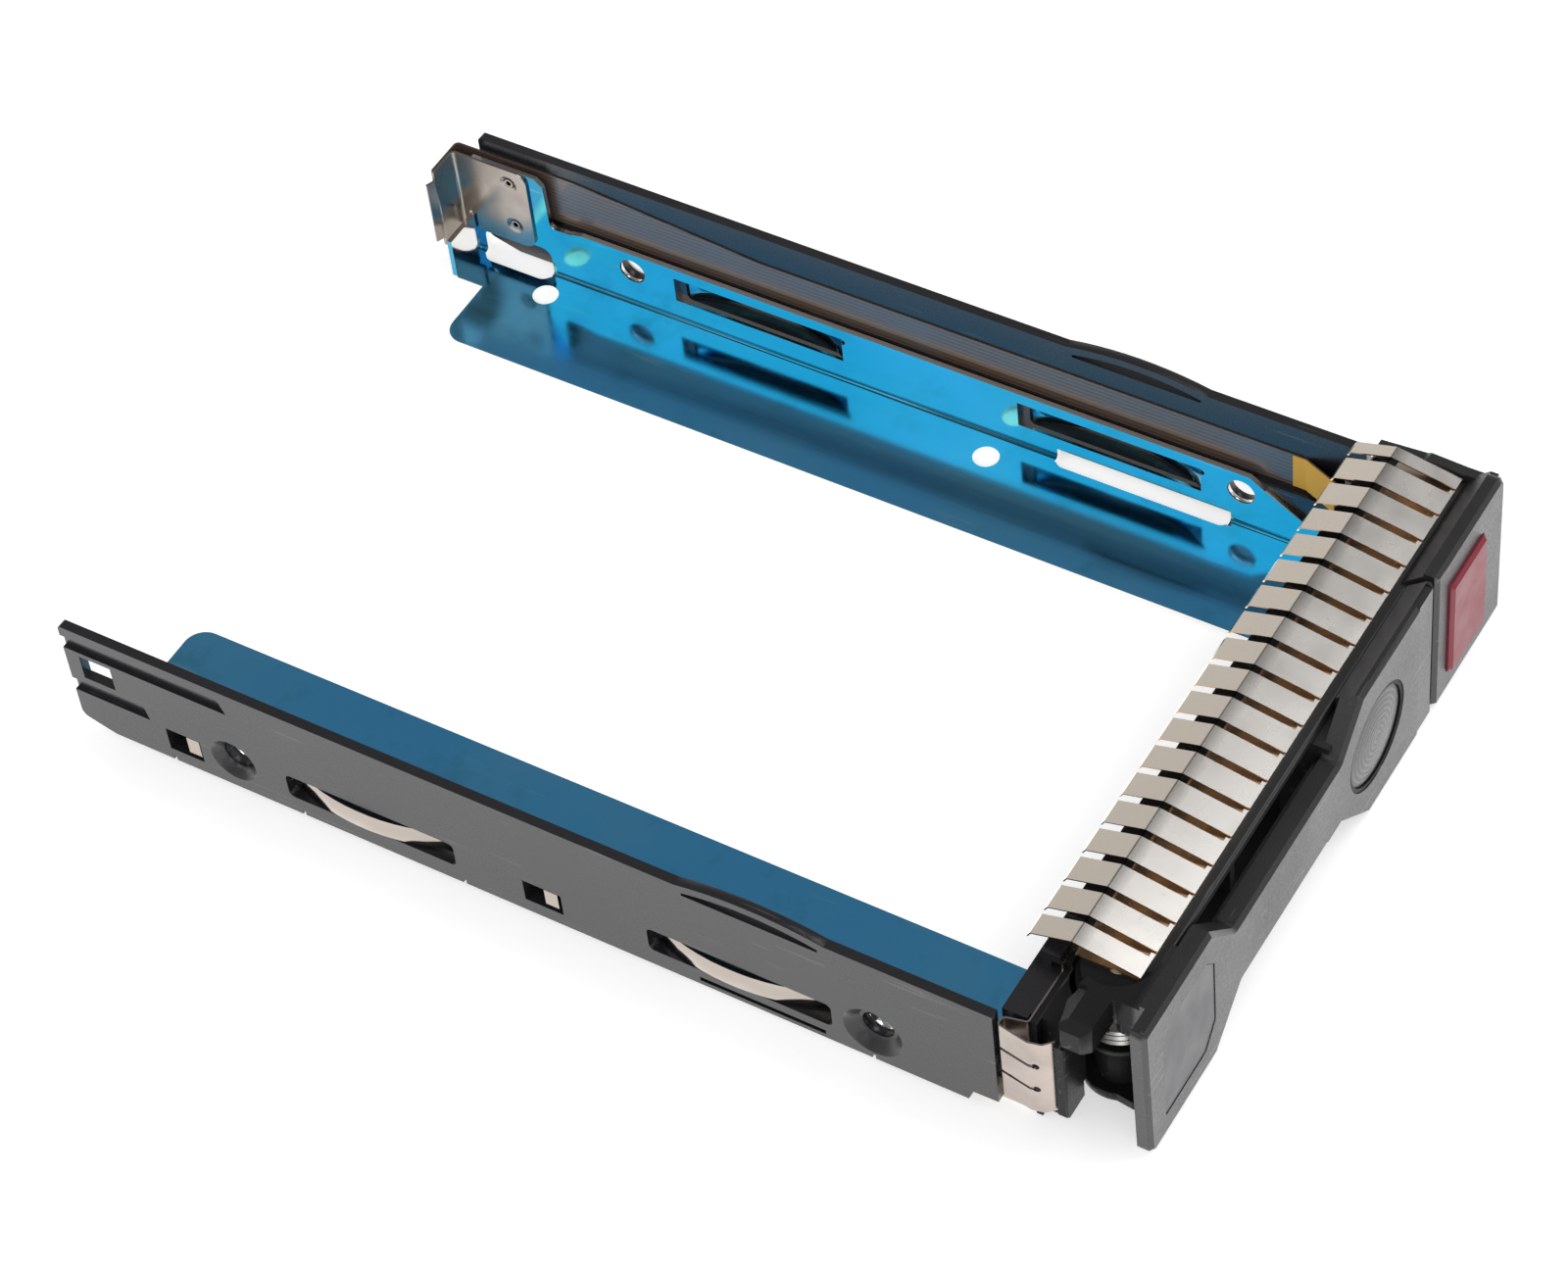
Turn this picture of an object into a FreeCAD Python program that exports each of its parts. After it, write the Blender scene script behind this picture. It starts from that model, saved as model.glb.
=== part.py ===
import FreeCAD, Part
import math
import os

# Hot swap drive caddy for a 3.5 inch drive.
# X runs across the caddy, Y runs from the front plate to the rear, Z is up.
# The model is drawn with Y = 0 on the front plate and is moved at export, so that
# the origin is the bottom centre of the caddy's box.

V = FreeCAD.Vector
os.makedirs("parts", exist_ok=True)

# ---- driving dimensions, mm ----
DRIVE_WIDTH = 101.6
DRIVE_HOLE_PITCH = 101.6      # side screw holes, front to rear
DRIVE_HOLE_RISE = 6.35        # side screw holes above the drive's underside
DRIVE_SIDE_GAP = 0.1
DRIVE_FLOAT = 0.45            # the drive hangs on its screws this far above the flanges
FRONT_HOLE_Y = 38.8
DRIVE_HOLE_RADIUS = 2.2       # clearance holes for the drive's side screws

CADDY_WIDTH = 109.0           # across the outer faces of the two rails
PLATE_HEIGHT = 27.2           # top of the front plates
PLATE_BOTTOM = 0.9
RAIL_REAR_Y = 167.2
RAIL_FRONT_Y = 20.4
RAIL_TOP = 22.3
RAIL_BOTTOM = 1.9

SHEET = 0.8                   # side bracket steel
BEND_RADIUS = 0.6
FLANGE_REACH = 18.7           # flange width inward from the wall
FLANGE_REAR_Y = 163.7
FLANGE_CORNER = 3.2           # rounded rear corner of a flange
BRACKET_REAR_Y = 169.0
BRACKET_FRONT_Y = 17.0
WALL_TOP = 11.2
STRAP_TOP = 20.0
CONTACT_REAR_Y = 170.9        # rear face of the contact bracket
CONTACT_END_X = 45.6          # its free end, before the lip
BOW_PROUD = 0.5               # bow springs stand this far outside the rails
BOW_END = 1.0                 # their free ends stop this far outside the bracket wall
SPRING_SHEET = 0.25           # spring steel of the grounding fingers

FINGER_SLOTS = 18             # slots between the 19 fingers
FINGER_PITCH = 5.165
FINGER_SLOT = 1.2
FIRST_SLOT_X = 49.9
STRIP_X0 = -41.9
STRIP_X1 = 52.6
FINGER_REAR_Y = 22.2
FINGER_RIDGE_Y = 15.6
FINGER_FRONT_Y = 6.0
FINGER_RISE = 2.6             # ridge above the frame top
FRAME_TOP = 23.7
FRAME_WALL = 1.4
SHIELD_Y = 16.4               # front face of the perforated shield

LEVER_END_X = 31.6            # free end of the lever
LEVER_TIP_X = -51.8           # pivot end of the lever's front plate
LEVER_GAP = 0.9
LEVER_PLATE = 3.0
PIVOT_X = -40.8
PIVOT_Y = 9.5
HUB_RADIUS = 5.6
TONGUE_RADIUS = 4.9
PIN_RADIUS = 1.5
PIN_RUN = 0.05                # running clearance of the pin in the lever
LUG_REACH = 13.6
GRIP_LOW = 8.0
GRIP_HIGH = 20.4

BUTTON_WIDTH = 11.0
BUTTON_HEIGHT = 17.8
BUTTON_X = 41.5
BUTTON_Z = 13.2
BUTTON_PROUD = 0.8
FIT = 0.2                     # sliding clearance of the button and the latch

RING_X = 14.2
RING_Z = 14.2
RING_RADIUS = 8.1
RING_WIDTH = 0.6

SLACK = 0.3                   # gap kept between curved or moving neighbours

# ---- sizes that follow ----
HALF = CADDY_WIDTH / 2
WALL_X = DRIVE_WIDTH / 2 + DRIVE_SIDE_GAP
WALL_OUT = WALL_X + SHEET
FLANGE_TOP = SHEET
HOLE_Z = FLANGE_TOP + DRIVE_FLOAT + DRIVE_HOLE_RISE
REAR_HOLE_Y = FRONT_HOLE_Y + DRIVE_HOLE_PITCH
WEB_X = HALF - 1.5            # inner face of the thin upper web of a rail
LEDGE_Z = 10.2                # top of the thick lower part of a rail
FIXED_X = LEVER_END_X + LEVER_GAP
TOP_UNDER = FRAME_TOP - FRAME_WALL
SHIELD_BACK = SHIELD_Y + SPRING_SHEET
FLEX_REAR_Y = CONTACT_REAR_Y + 0.3
FRONT_MOST = -BUTTON_PROUD
FLEX = 0.2                    # ribbon thickness
REAR_MOST = FLEX_REAR_Y + FLEX + 0.15
ORIGIN_Y = (FRONT_MOST + REAR_MOST) / 2


# ---- helpers ----
def box(x0, x1, y0, y1, z0, z1):
    return Part.makeBox(x1 - x0, y1 - y0, z1 - z0, V(x0, y0, z0))


def rod(axis, radius, a, b, start, end):
    """Cylinder along x, y or z; a and b are the other two coordinates in order."""
    length = end - start
    if axis == "x":
        return Part.makeCylinder(radius, length, V(start, a, b), V(1, 0, 0))
    if axis == "y":
        return Part.makeCylinder(radius, length, V(a, start, b), V(0, 1, 0))
    return Part.makeCylinder(radius, length, V(a, b, start), V(0, 0, 1))


def place(plane, a, b, level):
    if plane == "xy":
        return V(a, b, level)
    if plane == "xz":
        return V(a, level, b)
    return V(level, a, b)


def rounded_outline(points):
    """Corner points (a, b) or (a, b, radius) to a list of (entry, middle, exit)."""
    corners = []
    count = len(points)
    for i in range(count):
        here = points[i]
        before = points[i - 1]
        after = points[(i + 1) % count]
        radius = here[2] if len(here) > 2 else 0
        if radius <= 0:
            corners.append(((here[0], here[1]), None, (here[0], here[1])))
            continue
        la = math.hypot(before[0] - here[0], before[1] - here[1])
        lb = math.hypot(after[0] - here[0], after[1] - here[1])
        ua = ((before[0] - here[0]) / la, (before[1] - here[1]) / la)
        ub = ((after[0] - here[0]) / lb, (after[1] - here[1]) / lb)
        cosine = max(-1.0, min(1.0, ua[0] * ub[0] + ua[1] * ub[1]))
        half = math.acos(cosine) / 2
        radius = min(radius, 0.49 * min(la, lb) * math.tan(half))
        reach = radius / math.tan(half)
        bis = (ua[0] + ub[0], ua[1] + ub[1])
        lbis = math.hypot(bis[0], bis[1])
        depth = radius / math.sin(half) - radius
        entry = (here[0] + ua[0] * reach, here[1] + ua[1] * reach)
        leave = (here[0] + ub[0] * reach, here[1] + ub[1] * reach)
        middle = (here[0] + bis[0] / lbis * depth, here[1] + bis[1] / lbis * depth)
        corners.append((entry, middle, leave))
    return corners


def prism(plane, points, low, high):
    """Extrude a closed outline with optional corner radii between two levels."""
    corners = rounded_outline(points)
    edges = []
    for i in range(len(corners)):
        entry, middle, leave = corners[i]
        start = corners[i - 1][2]
        if math.hypot(start[0] - entry[0], start[1] - entry[1]) > 1e-6:
            edges.append(Part.makeLine(place(plane, start[0], start[1], low),
                                       place(plane, entry[0], entry[1], low)))
        if middle is not None:
            edges.append(Part.Arc(place(plane, entry[0], entry[1], low),
                                  place(plane, middle[0], middle[1], low),
                                  place(plane, leave[0], leave[1], low)).toShape())
    face = Part.Face(Part.Wire(edges))
    step = high - low
    way = {"xy": V(0, 0, step), "xz": V(0, step, 0), "yz": V(step, 0, 0)}[plane]
    return face.extrude(way)


def offset_line(points, shift):
    """Points of an open line moved sideways, with mitred corners."""
    moved = []
    count = len(points)
    for i in range(count):
        normals = []
        for j in (i - 1, i):
            if 0 <= j < count - 1:
                da = points[j + 1][0] - points[j][0]
                db = points[j + 1][1] - points[j][1]
                length = math.hypot(da, db)
                normals.append((-db / length, da / length))
        if len(normals) == 1:
            na, nb = normals[0]
            scale = 1.0
        else:
            na = normals[0][0] + normals[1][0]
            nb = normals[0][1] + normals[1][1]
            size = math.hypot(na, nb)
            na, nb = na / size, nb / size
            scale = 1.0 / (na * normals[0][0] + nb * normals[0][1])
        moved.append((points[i][0] + na * shift * scale, points[i][1] + nb * shift * scale))
    return moved


def folded(plane, points, thickness, bend, low, high):
    """Folded sheet: an open line with bends, given a thickness to its left side.
    A point (a, b, radius) has a bend of its own; radius 0 is a sharp fold."""
    near = [(p[0], p[1]) for p in points]
    far = offset_line(near, thickness)
    outline = []
    for side, line in (("near", near), ("far", far)):
        shaped = []
        for i, point in enumerate(line):
            radius = 0
            if 0 < i < len(line) - 1:
                a = near[i - 1]
                b = near[i]
                c = near[i + 1]
                turn = (b[0] - a[0]) * (c[1] - b[1]) - (b[1] - a[1]) * (c[0] - b[0])
                inner = (turn > 0) == (side == "far")
                own = points[i][2] if len(points[i]) > 2 else bend
                if own > 0:
                    radius = own if inner else own + thickness
            shaped.append((point[0], point[1], radius))
        if side == "far":
            shaped.reverse()
        outline.extend(shaped)
    return prism(plane, outline, low, high)


def arch(y0, y1, z_base, rise, thickness, x0, x1):
    """Curved leaf between two ends on one level, rising in the middle."""
    mid = (y0 + y1) / 2
    lower = Part.Arc(V(x0, y0, z_base - thickness), V(x0, mid, z_base - thickness + rise),
                     V(x0, y1, z_base - thickness)).toShape()
    upper = Part.Arc(V(x0, y1, z_base), V(x0, mid, z_base + rise), V(x0, y0, z_base)).toShape()
    side_a = Part.makeLine(V(x0, y1, z_base - thickness), V(x0, y1, z_base))
    side_b = Part.makeLine(V(x0, y0, z_base), V(x0, y0, z_base - thickness))
    wire = Part.Wire([lower, side_a, upper, side_b])
    return Part.Face(wire).extrude(V(x1 - x0, 0, 0))


def slot_cut(x0, x1, y0, y1, z0, z1, radius):
    """Through slot in a wall that stands across X, with rounded corners."""
    points = [(y0, z0, radius), (y1, z0, radius), (y1, z1, radius), (y0, z1, radius)]
    return prism("yz", points, x0, x1)


def cone_x(radius_small, radius_big, x_small, x_big, y, z):
    """Countersink along X."""
    way = V(1, 0, 0) if x_big > x_small else V(-1, 0, 0)
    return Part.makeCone(radius_small, radius_big, abs(x_big - x_small), V(x_small, y, z), way)


def fuse(shapes):
    body = shapes[0]
    if len(shapes) > 1:
        body = body.multiFuse(shapes[1:])
    return body.removeSplitter()


def cut(body, tools):
    return body.cut(Part.makeCompound(tools)).removeSplitter()


def mirror(shape):
    return shape.mirror(V(0, 0, 0), V(1, 0, 0))


# ---- side rails ----
ARCH_Y0 = 45.0
ARCH_Y1 = 67.5
ARCH_RISE = 1.2
BOW_SLOTS = ((104.1, 133.0), (45.2, 74.8))      # wall windows of the two bow springs
BOW_LOW = 4.7
BOW_HIGH = 9.3
BOW_STRIP_LOW = 5.5
BOW_STRIP_HIGH = 8.9
SCREW_BORE = 2.4              # bore of the rail under the drive screws' countersinks
LATCH_WINDOWS = ((146.0, 151.8, 4.2, 8.5), (86.8, 92.9, 4.3, 8.4))
REAR_WINDOW = (159.4, 164.7, 12.6, 17.1)
NICKS = (151.4, 129.5, 103.0, 39.0)
DIMPLES_Y = (78.2, 154.0)
DIMPLE_Z = 4.9
STRAP_HOLE_Y = 160.9
STRAP_HOLES_Z = (17.5, 8.9)


def rail():
    step_y = RAIL_FRONT_Y + 4.1
    profile = [(RAIL_FRONT_Y, RAIL_BOTTOM + 2.1), (step_y - 0.4, RAIL_BOTTOM + 2.0),
               (step_y + 0.4, RAIL_BOTTOM), (RAIL_REAR_Y - 5.5, RAIL_BOTTOM),
               (RAIL_REAR_Y, RAIL_BOTTOM + 1.6, 1.5), (RAIL_REAR_Y, LEDGE_Z),
               (RAIL_FRONT_Y, LEDGE_Z)]
    lower = prism("yz", profile, WALL_OUT, HALF)
    web = prism("yz", [(RAIL_FRONT_Y, LEDGE_Z), (RAIL_REAR_Y, LEDGE_Z),
                       (RAIL_REAR_Y, RAIL_TOP, 0.5), (RAIL_FRONT_Y, RAIL_TOP)], WEB_X, HALF)
    leaf = arch(ARCH_Y0, ARCH_Y1, RAIL_TOP, ARCH_RISE, 2.0, WEB_X, HALF)
    flex_lip_low = box(WEB_X - 0.5, WEB_X, RAIL_FRONT_Y + 6, RAIL_REAR_Y - 14, LEDGE_Z, LEDGE_Z + 0.4)
    body = fuse([lower, web, leaf, flex_lip_low])

    tools = []
    for y0, y1 in BOW_SLOTS:
        tools.append(slot_cut(WALL_OUT - 1, HALF + 1, y0 - 0.2, y1 - 1.6, BOW_STRIP_LOW - 0.4,
                              BOW_STRIP_HIGH + 0.7, 0.9))
    for y, mouth in ((FRONT_HOLE_Y, 4.5), (REAR_HOLE_Y, 3.8)):
        tools.append(rod("x", SCREW_BORE, y, HOLE_Z, WALL_OUT - 1, HALF + 1))
        tools.append(cone_x(mouth - 1.6, mouth, WEB_X, HALF + 0.01, y, HOLE_Z))
    for y0, y1, z0, z1 in LATCH_WINDOWS:
        tools.append(slot_cut(WALL_OUT - 1, HALF + 1, y0, y1, z0, z1, 0))
    y0, y1, z0, z1 = REAR_WINDOW
    tools.append(slot_cut(WEB_X - 1, HALF + 1, y0, y1, z0, z1, 0))
    groove = 0.7
    tools.append(prism("yz", [(139.6, 17.9), (RAIL_REAR_Y + 1, 17.9), (RAIL_REAR_Y + 1, 20.4),
                              (140.6, 20.4, 0.6)], HALF - groove, HALF + 1))
    tools.append(prism("yz", [(154.3, 8.9), (RAIL_REAR_Y + 1, 8.9), (RAIL_REAR_Y + 1, 11.4),
                              (154.9, 11.4, 0.6)], HALF - groove, HALF + 1))
    mid = (ARCH_Y0 + ARCH_Y1) / 2
    low_a = V(WEB_X - 2, ARCH_Y0 + 1, RAIL_TOP - 1.75)
    low_b = V(WEB_X - 2, ARCH_Y1 - 1, RAIL_TOP - 1.75)
    high_a = V(WEB_X - 2, ARCH_Y0 + 1, RAIL_TOP - 1.25)
    high_b = V(WEB_X - 2, ARCH_Y1 - 1, RAIL_TOP - 1.25)
    crown = Part.Arc(high_a, V(WEB_X - 2, mid, RAIL_TOP - 1.2 + ARCH_RISE), high_b).toShape()
    slit = Part.Face(Part.Wire([Part.makeLine(low_a, low_b), Part.makeLine(low_b, high_b), crown,
                                Part.makeLine(high_a, low_a)])).extrude(V(6, 0, 0))
    tools.append(slit)
    tools.append(slot_cut(WALL_OUT - 1, HALF + 1, ARCH_Y0 + 1.2, ARCH_Y1 - 2.0, 2.7, 3.5, 0))
    tools.append(rod("x", 1.6, STRAP_HOLE_Y, STRAP_HOLES_Z[1], WALL_OUT - 1, WALL_OUT + 0.7))
    for y in DIMPLES_Y:
        tools.append(rod("x", 2.3, y, DIMPLE_Z, WALL_OUT - 1, WALL_OUT + 0.6))
    for y in NICKS:
        tools.append(box(HALF - 0.5, HALF + 1, y - 0.25, y + 0.25, RAIL_BOTTOM - 1, RAIL_BOTTOM + 0.8))
    body = cut(body, tools)
    return body


# ---- folded side brackets ----
def bow_spring(y0, y1):
    """Lanced strip, fixed at its front end, bowed outward past the rail."""
    free_y = y1 - 2.0
    fixed_y = y0 - 0.05
    apex = HALF + BOW_PROUD
    y_mid = (free_y + fixed_y) / 2
    outer = Part.Arc(V(WALL_OUT, fixed_y, BOW_STRIP_LOW), V(apex, y_mid, BOW_STRIP_LOW),
                     V(WALL_OUT + BOW_END, free_y, BOW_STRIP_LOW)).toShape()
    inner = Part.Arc(V(WALL_X + BOW_END, free_y, BOW_STRIP_LOW), V(apex - SHEET, y_mid, BOW_STRIP_LOW),
                     V(WALL_X, fixed_y, BOW_STRIP_LOW)).toShape()
    side_a = Part.makeLine(V(WALL_OUT + BOW_END, free_y, BOW_STRIP_LOW),
                           V(WALL_X + BOW_END, free_y, BOW_STRIP_LOW))
    side_b = Part.makeLine(V(WALL_X, fixed_y, BOW_STRIP_LOW), V(WALL_OUT, fixed_y, BOW_STRIP_LOW))
    face = Part.Face(Part.Wire([outer, side_a, inner, side_b]))
    return face.extrude(V(0, 0, BOW_STRIP_HIGH - BOW_STRIP_LOW))


def bracket(with_strap):
    flange_in = WALL_X - FLANGE_REACH
    high = STRAP_TOP if with_strap else WALL_TOP
    rear = BRACKET_REAR_Y if with_strap else FLANGE_REAR_Y
    section = [(flange_in, 0), (WALL_OUT, 0, BEND_RADIUS + SHEET), (WALL_OUT, high),
               (WALL_X, high), (WALL_X, FLANGE_TOP, BEND_RADIUS), (flange_in, FLANGE_TOP)]
    body = prism("xz", section, BRACKET_FRONT_Y, rear)

    tools = []
    front_rise = [(BRACKET_FRONT_Y - 1, FLANGE_TOP + 4.4), (28.0, FLANGE_TOP + 4.4, 1.0),
                  (35.0, 9.5, 2.0), (37.5, WALL_TOP)]
    if with_strap:
        line = front_rise + [(149.0, WALL_TOP), (151.5, WALL_TOP - 0.6, 1.0),
                             (154.6, WALL_TOP - 0.6, 1.0), (154.9, STRAP_TOP - 1.2, 0.5),
                             (156.2, STRAP_TOP), (160.0, STRAP_TOP + 1),
                             (BRACKET_FRONT_Y - 1, STRAP_TOP + 1)]
    else:
        line = front_rise + [(FLANGE_REAR_Y - 6, WALL_TOP), (FLANGE_REAR_Y + 1, WALL_TOP - 4.0),
                             (FLANGE_REAR_Y + 1, STRAP_TOP + 1),
                             (BRACKET_FRONT_Y - 1, STRAP_TOP + 1)]
    tools.append(prism("yz", line, WALL_X - 1, WALL_OUT + 1))
    corner = FLANGE_CORNER
    if with_strap:
        notch_x = WALL_X - 7.2
        tools.append(box(flange_in - 1, notch_x, FLANGE_REAR_Y, rear + 1, -1, FLANGE_TOP + 1))
        tools.append(box(WALL_X - 1.5, WALL_OUT + 1, rear - 1.5, rear + 1, FLANGE_TOP + 7.4,
                         STRAP_TOP + 1))
    fillet_at = FLANGE_REAR_Y
    bite = box(flange_in - 1, flange_in + corner, fillet_at - corner, fillet_at + 1, -1,
               FLANGE_TOP + 1)
    tools.append(bite.cut(rod("z", corner, flange_in + corner, fillet_at - corner, -2,
                              FLANGE_TOP + 2)))
    for y0, y1 in BOW_SLOTS:
        tools.append(slot_cut(WALL_X - 1, WALL_OUT + 1, y0, y1, BOW_LOW, BOW_HIGH, 0))
        tools.append(rod("x", 0.5, y0 - 0.1, BOW_HIGH - 0.6, WALL_X - 1, WALL_OUT + 1))
    for y in (FRONT_HOLE_Y, REAR_HOLE_Y):
        tools.append(rod("x", DRIVE_HOLE_RADIUS, y, HOLE_Z, WALL_X - 1, WALL_OUT + 1))
    for y in (77.9, 154.0):
        tools.append(rod("z", 2.0, WALL_X - 4.5, y, -1, FLANGE_TOP + 1))
    tools.append(slot_cut(WALL_X - 1, WALL_OUT + 1, 40.5, 68.5, -1, 2.5, 0))
    tools.append(prism("xy", [(WALL_X - 1.6, 40.5, 1.5), (WALL_X + 3, 40.5), (WALL_X + 3, 68.5),
                              (WALL_X - 1.6, 68.5, 1.5)], -1, FLANGE_TOP + 1))
    if with_strap:
        tools.append(slot_cut(WALL_X - 1, WALL_OUT + 1, 155.2, 167.2, -1, 5.6, 1.8))
        tools.append(prism("xy", [(WALL_X - 2.0, 155.2, 1.8), (WALL_X + 3, 155.2),
                                  (WALL_X + 3, 167.2), (WALL_X - 2.0, 167.2, 1.8)],
                           -1, FLANGE_TOP + 1))
        for z in STRAP_HOLES_Z:
            tools.append(rod("x", 1.1, STRAP_HOLE_Y, z, WALL_X - 1, WALL_OUT + 1))
    for x in SCREW_XS:
        tools.append(rod("z", 1.6, x, SCREW_Y, -1, FLANGE_TOP + 1))
    body = cut(body, tools)

    extra = [bow_spring(y0, y1) for y0, y1 in BOW_SLOTS]
    for y0, y1, z0, z1 in LATCH_WINDOWS:
        hook = folded("xy", [(WALL_X, y1 - 1.0), (WALL_OUT + 0.2, y1 - 1.4),
                             (HALF - 0.9, y1 - 3.4), (HALF - 0.9, y1 - 5.3)],
                      SHEET * 0.75, 0, z0 + 0.5, z1 - 0.6)
        extra.append(hook)
    for y in DIMPLES_Y:
        extra.append(rod("x", 1.9, y, DIMPLE_Z, WALL_OUT - 0.2, WALL_OUT + 0.35))
    if with_strap:
        extra.append(box(WALL_X - 7.2, WALL_OUT - 0.4, rear - SHEET, rear, SHEET / 2,
                         FLANGE_TOP + 7.4))
    else:
        extra.append(prism("yz", [(158.6, WALL_TOP - 1), (161.8, WALL_TOP - 1), (161.8, 16.2, 0.8),
                                  (159.4, 16.2, 0.8)], WALL_X, WALL_OUT))
    return fuse([body] + extra)


SCREW_Y = 19.2
SCREW_XS = (WALL_X - 3.2, WALL_X - 14.5)


# ---- rear contact bracket with the flex end ----
def contact_bracket():
    sheet = 0.4
    low = 5.2
    high = STRAP_TOP + 0.25
    inner = WALL_X - sheet
    line = [(WALL_X, 157.6), (WALL_X, CONTACT_REAR_Y), (CONTACT_END_X, CONTACT_REAR_Y),
            (CONTACT_END_X - 1.4, CONTACT_REAR_Y + 0.6)]
    body = folded("xy", line, sheet, 0.5, low, high)
    tools = []
    tools.append(box(WALL_X - 1, WALL_X + 1, BRACKET_REAR_Y - SHEET - SLACK, BRACKET_REAR_Y + SLACK,
                     low - 1, FLANGE_TOP + 7.8))
    lip_x = CONTACT_END_X - 0.2
    for z0, z1 in ((low - 1, low + 1.6), (high - 1.8, high + 1)):
        tools.append(box(CONTACT_END_X - 3, lip_x, CONTACT_REAR_Y - 1, CONTACT_REAR_Y + 2, z0, z1))
    corner = 2.0
    for z, away in ((high, 1), (low, -1)):
        bite = box(inner - 1, WALL_X + 1, 157.0, 157.6 + corner, min(z, z - away * corner),
                   max(z, z - away * corner))
        bite = bite.cut(rod("x", corner, 157.6 + corner, z - away * corner, inner - 2, WALL_X + 2))
        tools.append(bite)
    for z in STRAP_HOLES_Z:
        tools.append(rod("x", 0.8, STRAP_HOLE_Y, z, inner - 1, WALL_X + 1))
        tools.append(cone_x(0.8, 1.5, inner + 0.25, inner - 0.01, STRAP_HOLE_Y, z))
    return cut(body, tools)


def contact_rivets():
    """Two hollow rivets that clamp the contact bracket to the strap."""
    made = []
    for z in STRAP_HOLES_Z:
        shank = rod("x", 0.75, STRAP_HOLE_Y, z, WALL_X - 0.25, WALL_OUT + 0.35)
        tail = rod("x", 1.25, STRAP_HOLE_Y, z, WALL_OUT, WALL_OUT + 0.35)
        hollow = rod("x", 0.45, STRAP_HOLE_Y, z, WALL_X - 1, WALL_OUT + 1)
        made.append(fuse([shank, tail]).cut(hollow))
    return Part.makeCompound(made)


FLEX_X = WEB_X - 0.05
FLEX_LOW = LEDGE_Z + 0.5
FLEX_HIGH = 17.0
RIBBON_IN_X = WALL_X - 0.6    # the ribbon comes through the shield inside the wall line
RIBBON_TURN_Y = 23.5
RIBBON_REAR_TURN_Y = 29.5
RIBBON_BEND = 0.6


def flex_ribbon():
    """Ribbon that lies in the right rail and turns in at both ends."""
    rear = FLEX_REAR_Y
    line = [(RIBBON_IN_X, SHIELD_Y - 1.0), (RIBBON_IN_X, RIBBON_TURN_Y),
            (FLEX_X - FLEX, RIBBON_REAR_TURN_Y), (FLEX_X - FLEX, rear),
            (CONTACT_END_X + 0.4, rear)]
    line.reverse()
    body = folded("xy", line, FLEX, RIBBON_BEND, FLEX_LOW, STRAP_TOP)
    tools = []
    tools.append(prism("yz", [(0, FLEX_HIGH), (118.0, FLEX_HIGH), (150.5, STRAP_TOP), (150.5, 23),
                              (0, 23)], 40, HALF + 1))
    return cut(body, tools)


def contact_pads():
    """Gold contact fingers on the rear face of the flex end."""
    made = []
    for i in range(6):
        z = FLEX_LOW + 1.0 + i * 1.45
        made.append(box(CONTACT_END_X + 0.8, WALL_X - 1.2, FLEX_REAR_Y + FLEX, REAR_MOST, z, z + 0.85))
    return Part.makeCompound(made)


def flex_stiffener():
    """Amber film patch over the slanted run of the ribbon and its rear bend."""
    thick = 0.15
    turn_x = FLEX_X - FLEX
    part = 0.08
    start = (RIBBON_IN_X + part * (turn_x - RIBBON_IN_X),
             RIBBON_TURN_Y + part * (RIBBON_REAR_TURN_Y - RIBBON_TURN_Y))
    line = [start, (turn_x, RIBBON_REAR_TURN_Y), (turn_x, RIBBON_REAR_TURN_Y + 2.0)]
    return folded("xy", line, thick, RIBBON_BEND - thick, FLEX_LOW + 0.1, FLEX_HIGH - 0.1)


# ---- cross member behind the shield ----
POCKET_TOP = 20.9             # top of the low corner that the lever's lug sweeps over


def cross_member():
    y0 = SHIELD_BACK
    y1 = 19.3
    inner = WALL_X - 0.15
    low = FLANGE_TOP
    top = box(-inner, inner, y0, y1, TOP_UNDER, FRAME_TOP)
    floor = box(-inner, inner, y0, y1 + 4.5, low, low + 1.4)
    wall = box(-inner, inner, y1 - 1.3, y1, low, FRAME_TOP)
    ends = [box(-inner, -36.5, y0, y1 + 1.3, low, POCKET_TOP),
            box(-inner - 0.85, -inner, y0 + 0.3, y1 + 1.3, 6.0, POCKET_TOP),
            box(43.2, inner, y0, y1 + 2.4, low, LEDGE_Z - 0.1),
            box(46.0, inner - 1.0, y0, y1 + 1.0, low, FRAME_TOP)]
    gussets = []
    for side in (-1, 1):
        a = side * 43.3
        b = side * 33.0
        points = [(a, y1 - 0.2), (b, y1 - 0.2), (b, y1 + 1.2, 2.0), (a, y1 + 4.4)]
        gussets.append(prism("xy", points, low, low + 5.0))
    bosses = []
    for side in (-1, 1):
        for x in SCREW_XS:
            bosses.append(rod("z", 2.4, side * x, SCREW_Y, low, low + 5.0))
    body = fuse([top, floor, wall] + ends + gussets + bosses)
    tools = []
    for i in range(5):
        x = -28.6 + i * 12.9
        tools.append(box(x, x + 10.8, y1 - 2, y1 + 1, low + 3.2, TOP_UNDER - 1.2))
    tools.append(box(-inner - 1, -43.2, y0 - 1, y1 + 6, POCKET_TOP, FRAME_TOP + 1))
    tools.append(box(inner - 1.6, inner + 1, y0 - 1, y1 + 6, LEDGE_Z - 0.1, FLEX_HIGH + 0.6))
    for side in (-1, 1):
        for x in SCREW_XS:
            tools.append(rod("z", 1.0, side * x, SCREW_Y, low - 1, low + 4.0))
    for x, z in FRAME_SCREWS:
        tools.append(rod("y", 1.05, x, z, y0 - 1, y1 + 6))
        tools.append(rod("y", 2.2, x, z, y1, y1 + 6))
    for side in (-1, 1):
        edge = side * inner
        back = side * (inner - 0.8)
        tools.append(prism("xz", [(back, low - 0.01), (edge + side, low - 0.01),
                                  (edge + side, low + 1.8)], y0 - 1, y1 + 6))
    return cut(body, tools)


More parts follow.
